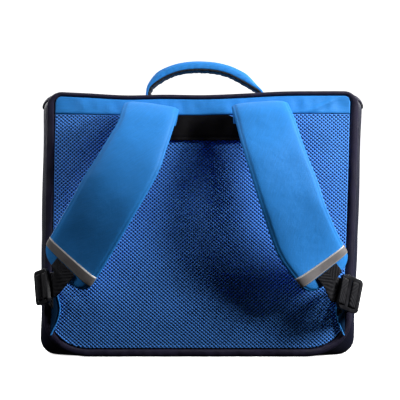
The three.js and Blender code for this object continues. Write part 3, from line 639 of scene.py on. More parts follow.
class RANSEL_OT_air_mesh(bpy.types.Operator):
    """Padded air mesh panel: a fine grid with the relief of its holes"""
    bl_idname = "ransel.air_mesh"
    bl_label = "Air mesh panel"

    def execute(self, context):
        s, p = sizes(), panel_shape()
        columns = np.linspace(-p["half"], p["half"], 290)
        share = np.linspace(0, 1, 228)
        foot = panel_foot(columns)[:, None]
        heights = foot + (p["mesh_top"] - foot) * share
        x = columns[:, None]
        pattern = np.cos(x * TAU / s.mesh_pitch) * np.cos(heights * TAU / (s.mesh_pitch * MESH_ROW))
        edge = np.minimum(p["half"] - np.abs(x), np.minimum(heights - foot, p["mesh_top"] - heights))
        lifts = panel_lift(x, heights) - 0.45 * MM * (1 + pattern) * smoothstep(edge, 0, 4 * MM)
        lifts = lifts + 0.5 * MM * ripple(x, heights, 3, 0.07) * smoothstep(edge, 0, 0.03)
        piece = panel_piece("air_mesh_panel", columns, heights, lifts, "air_mesh")
        finish_piece(piece, ["back_panel"])
        return {"FINISHED"}


class RANSEL_OT_band(bpy.types.Operator):
    """Cloth band over the mesh's top edge, gathered a little along its seams"""
    bl_idname = "ransel.band"
    bl_label = "Top band"

    def execute(self, context):
        s, p = sizes(), panel_shape()
        columns = np.linspace(-p["half"], p["half"], 240)
        corner = p["band_corner"]
        into = np.maximum(np.abs(columns) - (p["half"] - corner), 0) / corner
        head = (p["band_top"] - corner * (1 - np.sqrt(np.maximum(1 - into ** 2, 0))))[:, None]
        low = p["mesh_top"] + s.seam
        share = np.linspace(0, 1, 22)
        heights = low + (head - low) * share
        x = columns[:, None]
        middle = np.sin(share * math.pi)
        folds = 0.7 * ripple(x, heights * 0.5, 5, 0.05) + 0.45 * ripple(x, heights * 0.2, 8, 0.018)
        crease_at, crease_lean, crease_wide = 0.125, 1.9, 0.006
        crease = np.exp(-((x - crease_at - (heights - low) * crease_lean) / crease_wide) ** 2)
        lifts = panel_lift(x, heights) + s.cloth / 2 + MM * middle * (folds + 1.6 * crease)
        lifts = lifts - 0.7 * MM * np.maximum(1 - share / 0.1, 0)
        piece = panel_piece("top_band", columns, heights, lifts, "band_cloth")
        finish_piece(piece, ["top_band"])
        return {"FINISHED"}


class RANSEL_OT_patch(bpy.types.Operator):
    """Black patch between the straps' upper ends, with a turned hem along its lower edge"""
    bl_idname = "ransel.patch"
    bl_label = "Anchor patch"

    def execute(self, context):
        s, p = sizes(), panel_shape()
        columns = np.linspace(-s.patch_width / 2, s.patch_width / 2, 120) + s.patch_offset
        share = np.linspace(0, 1, 32)
        low = p["mesh_top"] - s.patch_height
        x = columns[:, None]
        cut_from, cut_run = 0.031, 0.009
        cut = 5 * MM * np.clip((x - cut_from) / cut_run, 0, 1)
        heights = low + (s.patch_height - cut) * share
        under = 2 * s.gap
        hem = 0.5 * MM * np.exp(-((share - 0.12) / 0.05) ** 2)
        lifts = panel_lift(x, heights) + under + s.cloth - hem + 0.4 * MM * ripple(x, heights, 11, 0.03)
        face = on_back(x, heights, lifts)
        rear = on_back(x, heights, panel_lift(x, heights) + under)
        piece = sheet_piece("anchor_patch", face, rear, x, heights, "black_cloth")
        finish_piece(piece, ["anchor_patch"])
        return {"FINISHED"}


def rounded_outline(half, low, high, foot_wide, foot_high, top, counts=(30, 70, 14, 130)):
    """Points round a rectangle whose corners are quarter ellipses, from the foot of its right lower corner.
    counts are the points of a lower corner, a side, an upper corner and the top or bottom edge."""
    foot, side, head, edge = counts
    arcs = [
        (half - foot_wide, low + foot_high, foot_wide, foot_high, -1, foot, side),
        (half - top, high - top, top, top, 0, head, edge),
        (top - half, high - top, top, top, 1, head, side),
        (foot_wide - half, low + foot_high, foot_wide, foot_high, 2, foot, edge),
    ]
    runs = []
    for index, (x, z, wide, tall, quarter, steps, run) in enumerate(arcs):
        angle = (quarter + np.linspace(0, 1, steps)) * math.pi / 2
        arc = np.stack([x + wide * np.cos(angle), z + tall * np.sin(angle)], axis=-1)
        after = arcs[(index + 1) % 4]
        begin = (after[0] + after[2] * math.cos(after[4] * math.pi / 2),
                 after[1] + after[3] * math.sin(after[4] * math.pi / 2))
        share = np.linspace(0, 1, run)[1:-1, None]
        runs += [arc, arc[-1] + (np.array(begin) - arc[-1]) * share]
    return np.concatenate(runs)


# Section of folded tape, over the fold and back along its foot: shares of its width and of its thickness
FOLD_SECTION = (
    *((0.5 - 0.5 * math.cos(angle), math.sin(angle) ** 0.6) for angle in np.linspace(0, math.pi, 13)),
    (0.66, 0.0), (0.33, 0.0),
)


class RANSEL_OT_back_binding(bpy.types.Operator):
    """Binding tape folded round the back panel's edge: a rounded fold carried round the outline, with
    small waves where the tape eases round the corners"""
    bl_idname = "ransel.back_binding"
    bl_label = "Back binding"

    def execute(self, context):
        s = sizes()
        rim = rounded_outline(s.bag_width / 2, 0.0, s.bag_height, s.corner_wide, s.corner_high, s.top_corner)
        walk = walked(rim)
        wave = ripple(walk, 0, 2, 0.045)
        fine = ripple(walk, 0, 9, 0.012)
        loops = []
        for inset, lift in FOLD_SECTION:
            draw = inset * s.binding_width
            outline = rounded_outline(s.bag_width / 2 - draw, draw, s.bag_height - draw * TOP_TUCK,
                                      s.corner_wide - draw, s.corner_high - draw, s.top_corner - draw)
            rise = s.binding_thick * lift * (0.9 + 0.07 * wave + 0.05 * fine)
            loops.append(on_back(outline[:, 0], outline[:, 1], rise))
        sections = np.stack(loops, axis=1)
        across = np.arange(sections.shape[1]) * 1.3 * MM
        piece = closed_piece("back_binding", sections, spread(across, walk), "binding", ring=True)
        finish_piece(piece, ["back_binding"])
        return {"FINISHED"}


def body_cup():
    """The box as one open cup: U-shaped slices of its outline from the back to the front, drawn together
    at both ends to the middle of the rim. Returns points and a flat map."""
    s = sizes()
    counts = (18, 60, 10, 90)
    foot, side, head, edge = counts
    total = 2 * (sum(counts) - 4)
    first = foot + side - 2 + head + edge - 2
    keep = (first + np.arange(total - edge + 3)) % total
    back = s.back_round * np.linspace(0, 1, 6) ** 2
    middle = np.linspace(s.back_round, s.bag_depth - s.front_round, 48)[1:-1]
    front = s.bag_depth - s.front_round * (1 - np.sin(np.linspace(0, 1, 12) * math.pi / 2))
    slices = []
    for depth in np.concatenate([back, middle, front]):
        inset = edge_inset(depth, s.back_round) + edge_inset(s.bag_depth - depth, s.front_round)
        blend = smoothstep(depth, 0, s.front_round + s.back_round)
        wide = s.corner_wide + (s.foot_corner - s.corner_wide) * blend - min(inset, s.foot_corner / 2)
        high = s.corner_high + (s.foot_corner - s.corner_high) * blend - min(inset, s.foot_corner / 2)
        outline = rounded_outline(bag_half(depth) - inset, inset, rim_height(depth) - inset, wide, high,
                                  s.rim_corner, counts)[keep]
        y = depth - s.bag_depth / 2
        side_wave = 1.3 * MM * ripple(outline[:, 1], y, 4, 0.11)
        pleat = 1.0 * MM * ripple(y + outline[:, 1] * 0.3, 0, 12, 0.035)
        aside = smoothstep(np.abs(outline[:, 0]), 0.15, 0.18) * smoothstep(outline[:, 1], 0.004, 0.05)
        fade = math.sin(math.pi * min(max(depth / s.bag_depth, 0), 1))
        fade = fade * smoothstep(s.bag_height - outline[:, 1], 0.01, 0.05)
        x = outline[:, 0] - np.sign(outline[:, 0]) * aside * fade * (1.2 * MM + side_wave + pleat)
        slices.append(stand(x, y, outline[:, 1]))
    slices = np.array(slices)
    rim_back = stand(0.0, -s.bag_depth / 2, rim_height(0.0) - edge_inset(0.0, s.back_round))
    rim_front = stand(0.0, s.bag_depth / 2, rim_height(s.bag_depth) - s.front_round)
    draw = np.linspace(1, 0, 26)[:-1, None, None]
    closing_back = rim_back + (slices[:1] - rim_back) * (1 - draw)
    closing_front = rim_front + (slices[-1:] - rim_front) * draw[1:]
    front_x, front_z = closing_front[..., 0], closing_front[..., 2]
    dish = ripple(front_x, front_z, 6, 0.13) * smoothstep(front_z, 0.01, 0.06) * np.minimum(draw[1:, :, 0], 1)
    closing_front[..., 1] -= 1.2 * MM * (1 + dish) * np.sin(draw[1:, :, 0] * math.pi)
    points = np.concatenate([closing_back, slices, closing_front, rim_front + 0 * slices[-1:]])
    columns = walked(slices[len(slices) // 2])
    rows = walked(points[:, points.shape[1] // 2])
    return points, spread(columns, rows)


class RANSEL_OT_body(bpy.types.Operator):
    """The box: one cup of cloth, lofted through its slices, hollow and open under the flap"""
    bl_idname = "ransel.body"
    bl_label = "Box"

    def execute(self, context):
        points, flat = body_cup()
        piece = add_grid("box_cloth", points, flat, look_of("navy_cloth"))
        faces = piece.data.polygons
        normals, centres = (np.empty(len(faces) * 3, np.float32) for _ in range(2))
        faces.foreach_get("normal", normals)
        faces.foreach_get("center", centres)
        middle = np.array([0, 0, sizes().bag_height / 2])
        if (normals.reshape(-1, 3) * (centres.reshape(-1, 3) - middle)).sum() < 0:
            piece.data.flip_normals()
        modifier = piece.modifiers.new("wall", "SOLIDIFY")
        modifier.thickness = sizes().wall * 0.9
        modifier.offset = -1
        finish_piece(piece, ["body_shell"])
        return {"FINISHED"}


def flap_profile(down):
    """The flap's underside from the back edge over the top and round to the front: depth, y, z and the
    outward direction at each stop. down are distances below the front's bend."""
    s = sizes()
    bend = s.bag_depth - s.front_round
    z_bend = rim_height(bend) - s.front_round
    depth = s.gap + (bend - s.gap) * np.linspace(0, 1, 60)
    top = np.stack([depth, depth - s.bag_depth / 2, rim_height(depth) + s.gap, 0 * depth, 1 + 0 * depth],
                   axis=-1)
    angle = np.linspace(0, 1, 15)[1:] * math.pi / 2
    radius = s.front_round + s.gap
    corner = np.stack([bend + s.front_round * np.sin(angle), bend - s.bag_depth / 2 + radius * np.sin(angle),
                       z_bend + radius * np.cos(angle), np.sin(angle), np.cos(angle)], axis=-1)
    down = np.asarray(down, float)
    front = np.stack([s.bag_depth + 0 * down, s.bag_depth / 2 + s.gap + 0 * down, z_bend - down,
                      1 + 0 * down, 0 * down], axis=-1)
    return np.concatenate([top, corner, front])


def flap_half(depth):
    s, f = sizes(), flap_sizes()
    taper = 1 - smoothstep(depth, 0, s.bag_depth / 4)
    return bag_half(np.minimum(depth, s.bag_depth)) + f.over - f.back_taper * taper


def flap_point(x, stops, lift):
    """A point of the flap, which droops over the rounded upper corners by the square of the way out"""
    s = sizes()
    half = bag_half(np.minimum(stops[..., 0], s.bag_depth))
    out = np.maximum(np.abs(x) - half + s.rim_corner, 0) / s.rim_corner
    droop = flap_sizes().droop * stops[..., 4] * out ** 2
    return stand(x, stops[..., 1] + stops[..., 3] * lift, stops[..., 2] + stops[..., 4] * lift - droop)


class RANSEL_OT_flap(bpy.types.Operator):
    """The flap: a padded sheet over the top and down the front, with a quilted line near its edge"""
    bl_idname = "ransel.flap"
    bl_label = "Flap"

    def execute(self, context):
        s, f = sizes(), flap_sizes()
        inset = f.binding_width + s.seam
        radius = f.corner - inset
        front_half = flap_half(s.bag_depth)
        straight = front_half - f.corner
        turn = straight + radius * np.sin(np.linspace(0, 1, 14)[1:] * math.pi / 2)
        x = np.concatenate([-turn[::-1], np.linspace(-straight, straight, 120), turn])
        into = np.maximum(np.abs(x) - straight, 0)
        end = f.front - f.corner + np.sqrt(np.maximum(radius ** 2 - into ** 2, 0))
        across = x / (front_half - inset)
        share = np.linspace(0, 1, 90)[1:]
        faces = []
        for column, low in zip(across, end):
            stops = flap_profile(low * share)
            at = column * (flap_half(stops[:, 0]) - inset)
            run = walked(stops[:, 1:3])
            edge = np.minimum((1 - abs(column)) * front_half, np.minimum(run, run[-1] - run))
            soft_edge = smoothstep(edge, 0, 0.012)
            waves = 0.5 * ripple(at, run, 7, 0.12) + 0.25 * ripple(at, run, 13, 0.04)
            quilt = 0.8 * MM * np.exp(-((edge - 0.014) / 0.0015) ** 2)
            lift = f.thick + MM * soft_edge * (0.4 + waves) - quilt
            upper = flap_point(at, stops, lift)
            under = flap_point(at, stops, 0.0)
            faces.append((np.concatenate([upper, under[::-1]]), np.concatenate([run, run[::-1]])))
        sections, v = (np.array(part) for part in zip(*faces))
        u = np.broadcast_to(x[:, None], v.shape)
        piece = closed_piece("flap_cloth", sections, np.stack([u, v], axis=-1), "band_cloth")
        finish_piece(piece, ["flap"])
        return {"FINISHED"}


def flap_edge(inset):
    """x and the profile's stops along the flap's free edge, from its right back corner round the front"""
    s, f = sizes(), flap_sizes()
    radius = f.corner - inset
    front_half = flap_half(s.bag_depth)
    side = flap_profile((f.front - f.corner) * np.linspace(0, 1, 50)[1:])
    angle = np.linspace(0, 1, 18)[1:] * math.pi / 2
    corner = flap_profile(f.front - f.corner + radius * np.sin(angle))[-len(angle):]
    half_x = np.concatenate([flap_half(side[:, 0]) - inset, front_half - f.corner + radius * np.cos(angle)])
    half = np.concatenate([side, corner])
    foot = flap_profile([f.front - inset])[-1:]
    bottom_x = (front_half - f.corner) * (1 - 2 * np.linspace(0, 1, 90)[1:-1])
    bottom = np.repeat(foot, len(bottom_x), axis=0)
    return np.concatenate([half_x, bottom_x, -half_x[::-1]]), np.concatenate([half, bottom, half[::-1]])


class RANSEL_OT_flap_binding(bpy.types.Operator):
    """Binding tape along the flap's free edge: the fold's section carried along the edge"""
    bl_idname = "ransel.flap_binding"
    bl_label = "Flap binding"

    def execute(self, context):
        f = flap_sizes()
        x, stops = flap_edge(0.0)
        walk = walked(flap_point(x, stops, 0.0))
        wave = ripple(walk, 0, 3, 0.04)
        loops = []
        for inset, lift in FOLD_SECTION:
            x, stops = flap_edge(inset * f.binding_width)
            loops.append(flap_point(x, stops, lift * f.binding_thick * (0.92 + 0.08 * wave)))
        sections = np.stack(loops, axis=1)
        across = np.arange(sections.shape[1]) * 1.2 * MM
        piece = closed_piece("flap_binding", sections, spread(across, walk), "binding")
        finish_piece(piece, ["flap_binding"])
        return {"FINISHED"}


# Rows from a strap's upper end to its lower one: shares of the strap's sizes, then two angles in degrees
STRAP_COLUMNS = ("out", "down", "arch", "wide", "thick", "turn", "tip")
STRAP_ROWS = {
    "left": (
        (0.37, 0.095, 0.275, 0.80, 0.35, 7, 0),
        (0.362, 0.03, 0.31, 0.83, 0.6, 7, 0),
        (0.36, -0.005, 0.45, 0.86, 0.9, 7, 0),
        (0.375, 0.045, 0.62, 0.86, 1, 7, 0),
        (0.396, 0.12, 0.76, 0.86, 1, 8, 0),
        (0.446, 0.222, 0.90, 0.91, 1, 11, 2),
        (0.511, 0.346, 1.0, 0.98, 1, 14, 5),
        (0.6125, 0.491, 1.0, 0.99, 1, 22, 8),
        (0.722, 0.65, 0.88, 0.98, 1, 28, 10),
        (0.896, 0.888, 0.60, 1.0, 1, 41, 13),
        (0.968, 0.97, 0.52, 1.0, 0.9, 44, 14),
    ),
    "right": (
        (0.40, 0.09, 0.275, 0.80, 0.35, 4, 0),
        (0.402, 0.025, 0.31, 0.84, 0.6, 4, 0),
        (0.40, -0.008, 0.45, 0.875, 0.9, 4, 0),
        (0.415, 0.03, 0.60, 0.89, 1, 4, 0),
        (0.44, 0.095, 0.72, 0.91, 1, 5, 0),
        (0.476, 0.197, 0.86, 0.93, 1, 4, 2),
        (0.522, 0.311, 0.98, 0.95, 1, 4, 4),
        (0.587, 0.455, 1.03, 0.97, 1, 8, 6),
        (0.658, 0.616, 0.97, 0.975, 1, 12, 8),
        (0.749, 0.784, 0.8, 1.0, 1, 24, 10),
        (0.854, 0.91, 0.62, 0.95, 1, 35, 12),
        (0.93, 0.995, 0.52, 0.95, 0.9, 38, 14),
    ),
}
SIDES = {"left": -1, "right": 1}


def strap_middle(name, share):
    """Middle line of a strap, off the bag's back"""
    t = strap_sizes()
    read = dict(zip(STRAP_COLUMNS, (row_curve(column, share) for column in zip(*STRAP_ROWS[name]))))
    x, z = SIDES[name] * t.reach * read["out"], t.top - t.drop * read["down"]
    return on_back(x, z, t.arch * read["arch"]), read


def strap_frame(name, share):
    """At each share of a strap: its middle, width direction, outward normal, half width and thickness"""
    t = strap_sizes()
    side = SIDES[name]
    share = np.asarray(share, float)
    middle, read = strap_middle(name, share)
    turn, tip = np.radians(read["turn"]), np.radians(read["tip"])
    level = np.cos(tip)
    across = np.stack([np.cos(turn) * level, side * np.sin(tip), side * np.sin(turn) * level], axis=-1)
    step = 1e-3
    before, after = np.maximum(share - step, 0), np.minimum(share + step, 1)
    along = strap_middle(name, after)[0] - strap_middle(name, before)[0]
    along /= np.linalg.norm(along, axis=-1, keepdims=True)
    normal = np.cross(along, across)
    normal /= np.linalg.norm(normal, axis=-1, keepdims=True)
    end = strap_middle(name, np.ones(1))[0]
    from_end = np.minimum(np.linalg.norm(middle - end, axis=-1) / t.end_round, 1)
    rounding = np.where(share > 0.5, 0.5 + 0.5 * np.sqrt(1 - (1 - from_end) ** 2), 1.0)
    return {"middle": middle, "across": across, "normal": normal,
            "half": t.width / 2 * read["wide"] * rounding, "thick": t.thick * read["thick"]}


def strap_share(name, from_end):
    """Share of a strap at a distance from its lower end"""
    shares = np.linspace(0.5, 1, 2001)
    far = np.linalg.norm(strap_middle(name, shares)[0] - strap_middle(name, np.ones(1))[0], axis=-1)
    return float(np.interp(-from_end, -far, shares))


def on_strap(line, across, lift):
    """Points at shares across a strap's width and lifts above its middle, for each row of its line"""
    lift = np.broadcast_to(lift, (len(line["half"]), across.shape[-1]))
    return (line["middle"][:, None] + line["across"][:, None] * (line["half"][:, None] * across)[..., None]
            + line["normal"][:, None] * lift[..., None])


def bulge(across):
    return np.sqrt(np.maximum(1 - np.abs(across) ** 5, 0))


def seam_groove(edge, place, wide, deep):
    """Depth of a sewn line's groove at distances from an edge: a bell round the line's own distance"""
    return deep * np.exp(-((edge - place) / wide) ** 2)


class RANSEL_OT_straps(bpy.types.Operator):
    """Padded arm straps: a closed pad lofted along each strap's line, swollen by a cloth simulation that
    is held at the sewn edges, both ends and the tape"""
    bl_idname = "ransel.straps"
    bl_label = "Arm straps"

    def execute(self, context):
        t = strap_sizes()
        for name in SIDES:
            share = np.concatenate([np.linspace(0, 0.955, 96), np.linspace(0.955, 1, 16)[1:]])
            line = strap_frame(name, share)
            across = np.sin(np.linspace(-1, 1, 37) * math.pi / 2)
            walk = walked(line["middle"])
            at = across * line["half"][:, None]
            smooth_zone = np.sin(np.linspace(0, 1, len(share)) * math.pi)[:, None]
            waves = 0.35 * MM * ripple(at, walk[:, None], 5 + SIDES[name], 0.05) * bulge(across) * smooth_zone
            groove = seam_groove(line["half"][:, None] - np.abs(at), 3.2 * MM, 0.9 * MM, 0.7 * MM)
            half_thick = line["thick"][:, None] / 2 * bulge(across) * 0.98 - groove
            upper = on_strap(line, across, half_thick + waves)
            under = on_strap(line, across, -half_thick + waves)
            piece = sheet_piece(f"strap_{name}", upper, under, walk[:, None], at, "sky_cloth", trim=1)
            places = coordinates(piece)
            held = 1.0 * (nearest(places, np.concatenate([upper[:, 0], upper[:, -1]])) < 1.0 * MM)
            tape_top = strap_share(name, t.tape_from_end + t.tape_width)
            for kept, reach in ((share >= tape_top - 0.01, 40 * MM), (share <= 0.1, 36 * MM)):
                held = np.maximum(held, 1.0 * (nearest(places, line["middle"][kept]) < reach))
            swell(piece, pressure=1.6, cap=2.2 * MM, held=held)
            soft(piece)
            finish_piece(piece, [f"strap_pad_{name}"])
        return {"FINISHED"}


class RANSEL_OT_tapes(bpy.types.Operator):
    """Reflective tapes sewn across the straps: a thin shell that follows the pad's outer face"""
    bl_idname = "ransel.tapes"
    bl_label = "Reflective tapes"

    def execute(self, context):
        s, t = sizes(), strap_sizes()
        for name in SIDES:
            stops = [strap_share(name, t.tape_from_end + t.tape_width), strap_share(name, t.tape_from_end)]
            line = strap_frame(name, np.linspace(*stops, 10))
            across = np.sin(np.linspace(-0.93, 0.93, 40) * math.pi / 2)
            low = line["thick"][:, None] / 2 * bulge(across) + 1.5 * s.gap
            pillow = 0.25 * MM * np.sin(np.linspace(0, 1, 10) * math.pi)[:, None]
            upper = on_strap(line, across, low + t.tape_thick * 0.8 + pillow)
            under = on_strap(line, across, low)
            at, along = across * line["half"][:, None], (np.linspace(0, 1, 10) * t.tape_width)[:, None]
            piece = sheet_piece(f"tape_{name}", upper, under, at, along, "reflective")
            finish_piece(piece, [f"strap_tape_{name}"])
        return {"FINISHED"}


# Places of the buckles: shares of half the bag's width, of BUCKLE_DROP and of BUCKLE_LIFT, then degrees
BUCKLE_COLUMNS = ("reach", "below", "off", "turn", "tilt")
BUCKLE_ROWS = {"left": (1.0, 0.8, 0.85, 60, 11), "right": (0.965, 0.93, 1.15, 44, 17)}
BUCKLE_DROP = 20 * MM
BUCKLE_LENGTH, BUCKLE_WIDTH, BUCKLE_THICK, SLOT_WIDTH, BAR_WIDTH = 38 * MM, 41 * MM, 5 * MM, 5 * MM, 5 * MM
BUCKLE_LIFT = 20 * MM
APPROACH = 4 * MM
WEBBING_INWARD = 12 * MM
WEBBING_TURN = 0.15
WEBBING_RISE = 1.5 * MM
TAB_HEIGHT, TAB_REACH, TAB_EDGE, TAB_FOOT = 70 * MM, 11 * MM, 9 * MM, 26 * MM


def turned(vector, axis, angle):
    """A vector turned about a unit axis"""
    return (vector * math.cos(angle) + np.cross(axis, vector) * math.sin(angle)
            + axis * np.dot(axis, vector) * (1 - math.cos(angle)))


def buckle_frame(name):
    """A buckle's centre and its axes: along the webbing to the front, across it, and out of its face"""
    s = sizes()
    row = dict(zip(BUCKLE_COLUMNS, BUCKLE_ROWS[name]))
    side = SIDES[name]
    bend, lean = math.radians(row["turn"]), math.radians(row["tilt"])
    front = np.array([-side * math.cos(bend), -math.sin(bend), 0.0])
    upright = np.array([0.0, 0.0, -side])
    out = np.cross(front, upright)
    t = strap_sizes()
    height = t.top - t.drop * STRAP_ROWS[name][-1][1] - BUCKLE_DROP * row["below"]
    centre = on_back(side * row["reach"] * s.bag_width / 2, height, row["off"] * BUCKLE_LIFT)
    lean = -side * lean
    return {"centre": centre, "out": out,
            "along": turned(front, out, lean), "across": turned(upright, out, lean),
            "side": side, "reach": row["reach"] * s.bag_width / 2, "middle": height}


def by_buckle(buckle, along, out):
    return (buckle["centre"] + buckle["along"] * along + buckle["out"] * out, -buckle["across"])


def round_bar(buckle, slot, way):
    """Stops of webbing through a slot, from the buckle's inner side to its outer one"""
    away = webbing_away()
    turns = ((0.4, -1), (0.06, -0.7), (0, 0), (0.06, 0.7), (0.4, 1))
    return [by_buckle(buckle, slot + way * share * SLOT_WIDTH, level * away) for share, level in turns]


def webbing_away():
    return BUCKLE_THICK / 2 + 2 * sizes().gap + strap_sizes().webbing_thick / 2


def run_through(stops, share, even=False):
    """Points at shares along a smooth run through stops: a Catmull-Rom curve with free ends, whose
    tangents allow for the stops' distances unless even is set"""
    stops = np.asarray(stops, float)
    padded = np.concatenate([2 * stops[:1] - stops[1:2], stops, 2 * stops[-1:] - stops[-2:-1]])
    place = np.clip(share, 0, 1) * (len(stops) - 1)
    index = np.minimum(np.floor(place).astype(int), len(stops) - 2)
    rest = (place - index)[:, None]
    before, here, after, beyond = (padded[index + k] for k in range(4))
    leave, arrive = (after - before) / 2, (beyond - here) / 2
    if not even:
        first, middle, last = (np.sqrt(np.linalg.norm(b - a, axis=1, keepdims=True) / MM)
                               for a, b in ((before, here), (here, after), (after, beyond)))
        span = (after - here) / middle
        leave = ((here - before) / first - (after - before) / (first + middle) + span) * middle
        arrive = (span - (beyond - here) / (middle + last) + (beyond - after) / last) * middle
    return ((2 * here - 2 * after + leave + arrive) * rest ** 3
            + (-3 * here + 3 * after - 2 * leave - arrive) * rest ** 2 + leave * rest + here)


def webbing_piece(name, stops):
    """Flat webbing carried through stops: a thin section with rounded selvedges, kept across the run"""
    t = strap_sizes()
    share = np.linspace(0, 1, 160)
    middle = run_through([stop[0] for stop in stops], share)
    across = run_through([stop[1] for stop in stops], share, even=True)
    across /= np.linalg.norm(across, axis=1, keepdims=True)
    along = np.gradient(middle, axis=0)
    normal = np.cross(along, across)
    normal /= np.linalg.norm(normal, axis=1, keepdims=True)
    angle = np.linspace(0, TAU, 21)[:-1]
    side = np.sign(np.cos(angle)) * np.abs(np.cos(angle)) ** 0.35 * t.webbing_width / 2
    rise = np.sign(np.sin(angle)) * np.abs(np.sin(angle)) ** 0.5 * t.webbing_thick / 2
    sections = middle[:, None] + across[:, None] * side[:, None] + normal[:, None] * rise[:, None]
    return closed_piece(name, sections, spread(side, walked(middle)), "webbing")


class RANSEL_OT_webbing(bpy.types.Operator):
    """Webbing from the straps through the buckles, and from the lower corners round the bag's edges"""
    bl_idname = "ransel.webbing"
    bl_label = "Webbing"

    def execute(self, context):
        s, t = sizes(), strap_sizes()
        away = webbing_away()
        for name in SIDES:
            buckle = buckle_frame(name)
            tape = strap_share(name, t.tape_from_end)
            stops = []
            for share in (0.04, 0.36, 0.68, 1):
                line = strap_frame(name, np.array([tape + (1 - tape) * share]))
                lift = line["thick"] / 2 + 2 * s.gap + t.webbing_thick / 2 + WEBBING_RISE * share
                width, normal = line["across"][0], line["normal"][0]
                width = width + (-buckle["across"] - width) * WEBBING_TURN * share ** 2
                width = width - normal * np.dot(width, normal)
                middle = (line["middle"] + line["normal"] * lift[:, None])[0]
                stops.append((middle, width / np.linalg.norm(width)))
            stops += [by_buckle(buckle, BUCKLE_LENGTH / 2 + APPROACH, -1.5 * away),
                      by_buckle(buckle, BUCKLE_LENGTH / 2 - APPROACH / 4, -1.15 * away),
                      *round_bar(buckle, SLOT_WIDTH + BAR_WIDTH, 1),
                      by_buckle(buckle, BUCKLE_LENGTH / 2 + APPROACH * 0.75, away)]
            piece = webbing_piece(f"webbing_{name}", stops)
            finish_piece(piece, [f"strap_webbing_{name}"])
            lift = s.binding_thick + s.cloth + 4 * s.gap + t.webbing_thick / 2
            upright = np.array([0.0, 0.0, buckle["side"]])
            stops = [(on_back(buckle["side"] * (buckle["reach"] - WEBBING_INWARD * inward),
                              buckle["middle"] - TAB_HEIGHT * drop, lift), upright)
                     for inward, drop in ((1, 0.17), (0.6, 0.12))]
            second, third = 0.0, -(SLOT_WIDTH + BAR_WIDTH)
            stops += [by_buckle(buckle, (second + third) / 2 + APPROACH, -1.4 * away),
                      by_buckle(buckle, (second + third) / 2, -1.1 * away),
                      *round_bar(buckle, third, 1), *round_bar(buckle, second, -1)[::-1][:4]]
            piece = webbing_piece(f"lower_webbing_{name}", stops)
            finish_piece(piece, [f"lower_webbing_{name}"])
        return {"FINISHED"}


def moulded_copy(node, name, radius):
    """A CAD node's own shape as a moulded piece: its flat faces joined, and its edges rounded by a radius"""
    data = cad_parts[node].data.copy()
    data.name = name
    mesh = bmesh.new()
    mesh.from_mesh(data)
    bmesh.ops.remove_doubles(mesh, verts=mesh.verts, dist=1e-5)
    bmesh.ops.dissolve_limit(mesh, angle_limit=0.02, verts=mesh.verts, edges=mesh.edges)
    bmesh.ops.recalc_face_normals(mesh, faces=mesh.faces)
    mesh.to_mesh(data)
    mesh.free()
    data.materials.clear()
    data.materials.append(look_of("plastic"))
    piece = bpy.data.objects.new(name, data)
    bpy.context.scene.collection.objects.link(piece)
    data.shade_smooth()
    bevel = piece.modifiers.new("round", "BEVEL")
    bevel.width = radius
    bevel.segments = 3
    bevel.limit_method = "ANGLE"
    bevel.angle_limit = math.radians(35)
    bevel.harden_normals = True
    return piece


class RANSEL_OT_hardware(bpy.types.Operator):
    """Buckles and clasps: moulded plastic with rounded edges, and ribs across the buckles' bars"""
    bl_idname = "ransel.hardware"
    bl_label = "Buckles and clasps"

    def execute(self, context):
        for name in SIDES:
            for node, radius in ((f"buckle_{name}", 0.9 * MM), (f"clasp_{name}", 0.8 * MM)):
                finish_piece(moulded_copy(node, f"moulded_{node}", radius), [node])
            self.bar_ribs(name)
        return {"FINISHED"}

    def bar_ribs(self, name):
        """Small half-round ribs across the outer face of a buckle's end bar"""
        buckle = buckle_frame(name)
        bar = -(BUCKLE_LENGTH / 2 - 2.0 * MM)
        run = np.array([-1.0, -0.8, 0.8, 1.0]) * 1.3 * MM
        width = np.array([0.2, 0.8, 0.8, 0.2])[:, None] * MM
        angle = np.linspace(0, TAU, 9)[:-1]
        ribs = []
        for place in np.linspace(-0.36, 0.36, 9) * BUCKLE_WIDTH:
            ring = (buckle["centre"] + buckle["along"] * (bar + run)[:, None, None]
                    + buckle["across"] * (place + width * np.cos(angle))[..., None]
                    + buckle["out"] * (BUCKLE_THICK / 2 + 0.5 * width * np.sin(angle))[..., None])
            ribs.append(closed_piece(f"rib_{name}_{len(ribs)}", ring, spread(angle * MM, run), "plastic"))
        finish_piece(joined(f"buckle_ribs_{name}", ribs), [])


def joined(name, parts):
    """Several small closed meshes as one object"""
    mesh = bmesh.new()
    material = parts[0].data.materials[0]
    for part in parts:
        mesh.from_mesh(part.data)
    data = bpy.data.meshes.new(name)
    mesh.to_mesh(data)
    mesh.free()
    for part in parts:
        old = part.data
        bpy.data.objects.remove(part)
        bpy.data.meshes.remove(old)
    data.materials.append(material)
    data.shade_smooth()
    piece = bpy.data.objects.new(name, data)
    bpy.context.scene.collection.objects.link(piece)
    return piece


# A tab's inner edge from its top to its foot: shares of its reach and of its height
TAB_ROWS = ((0, 1), (0.5, 0.8), (1, 0.5), (0.8, 0.28), (0.2, 0.06), (0, 0))


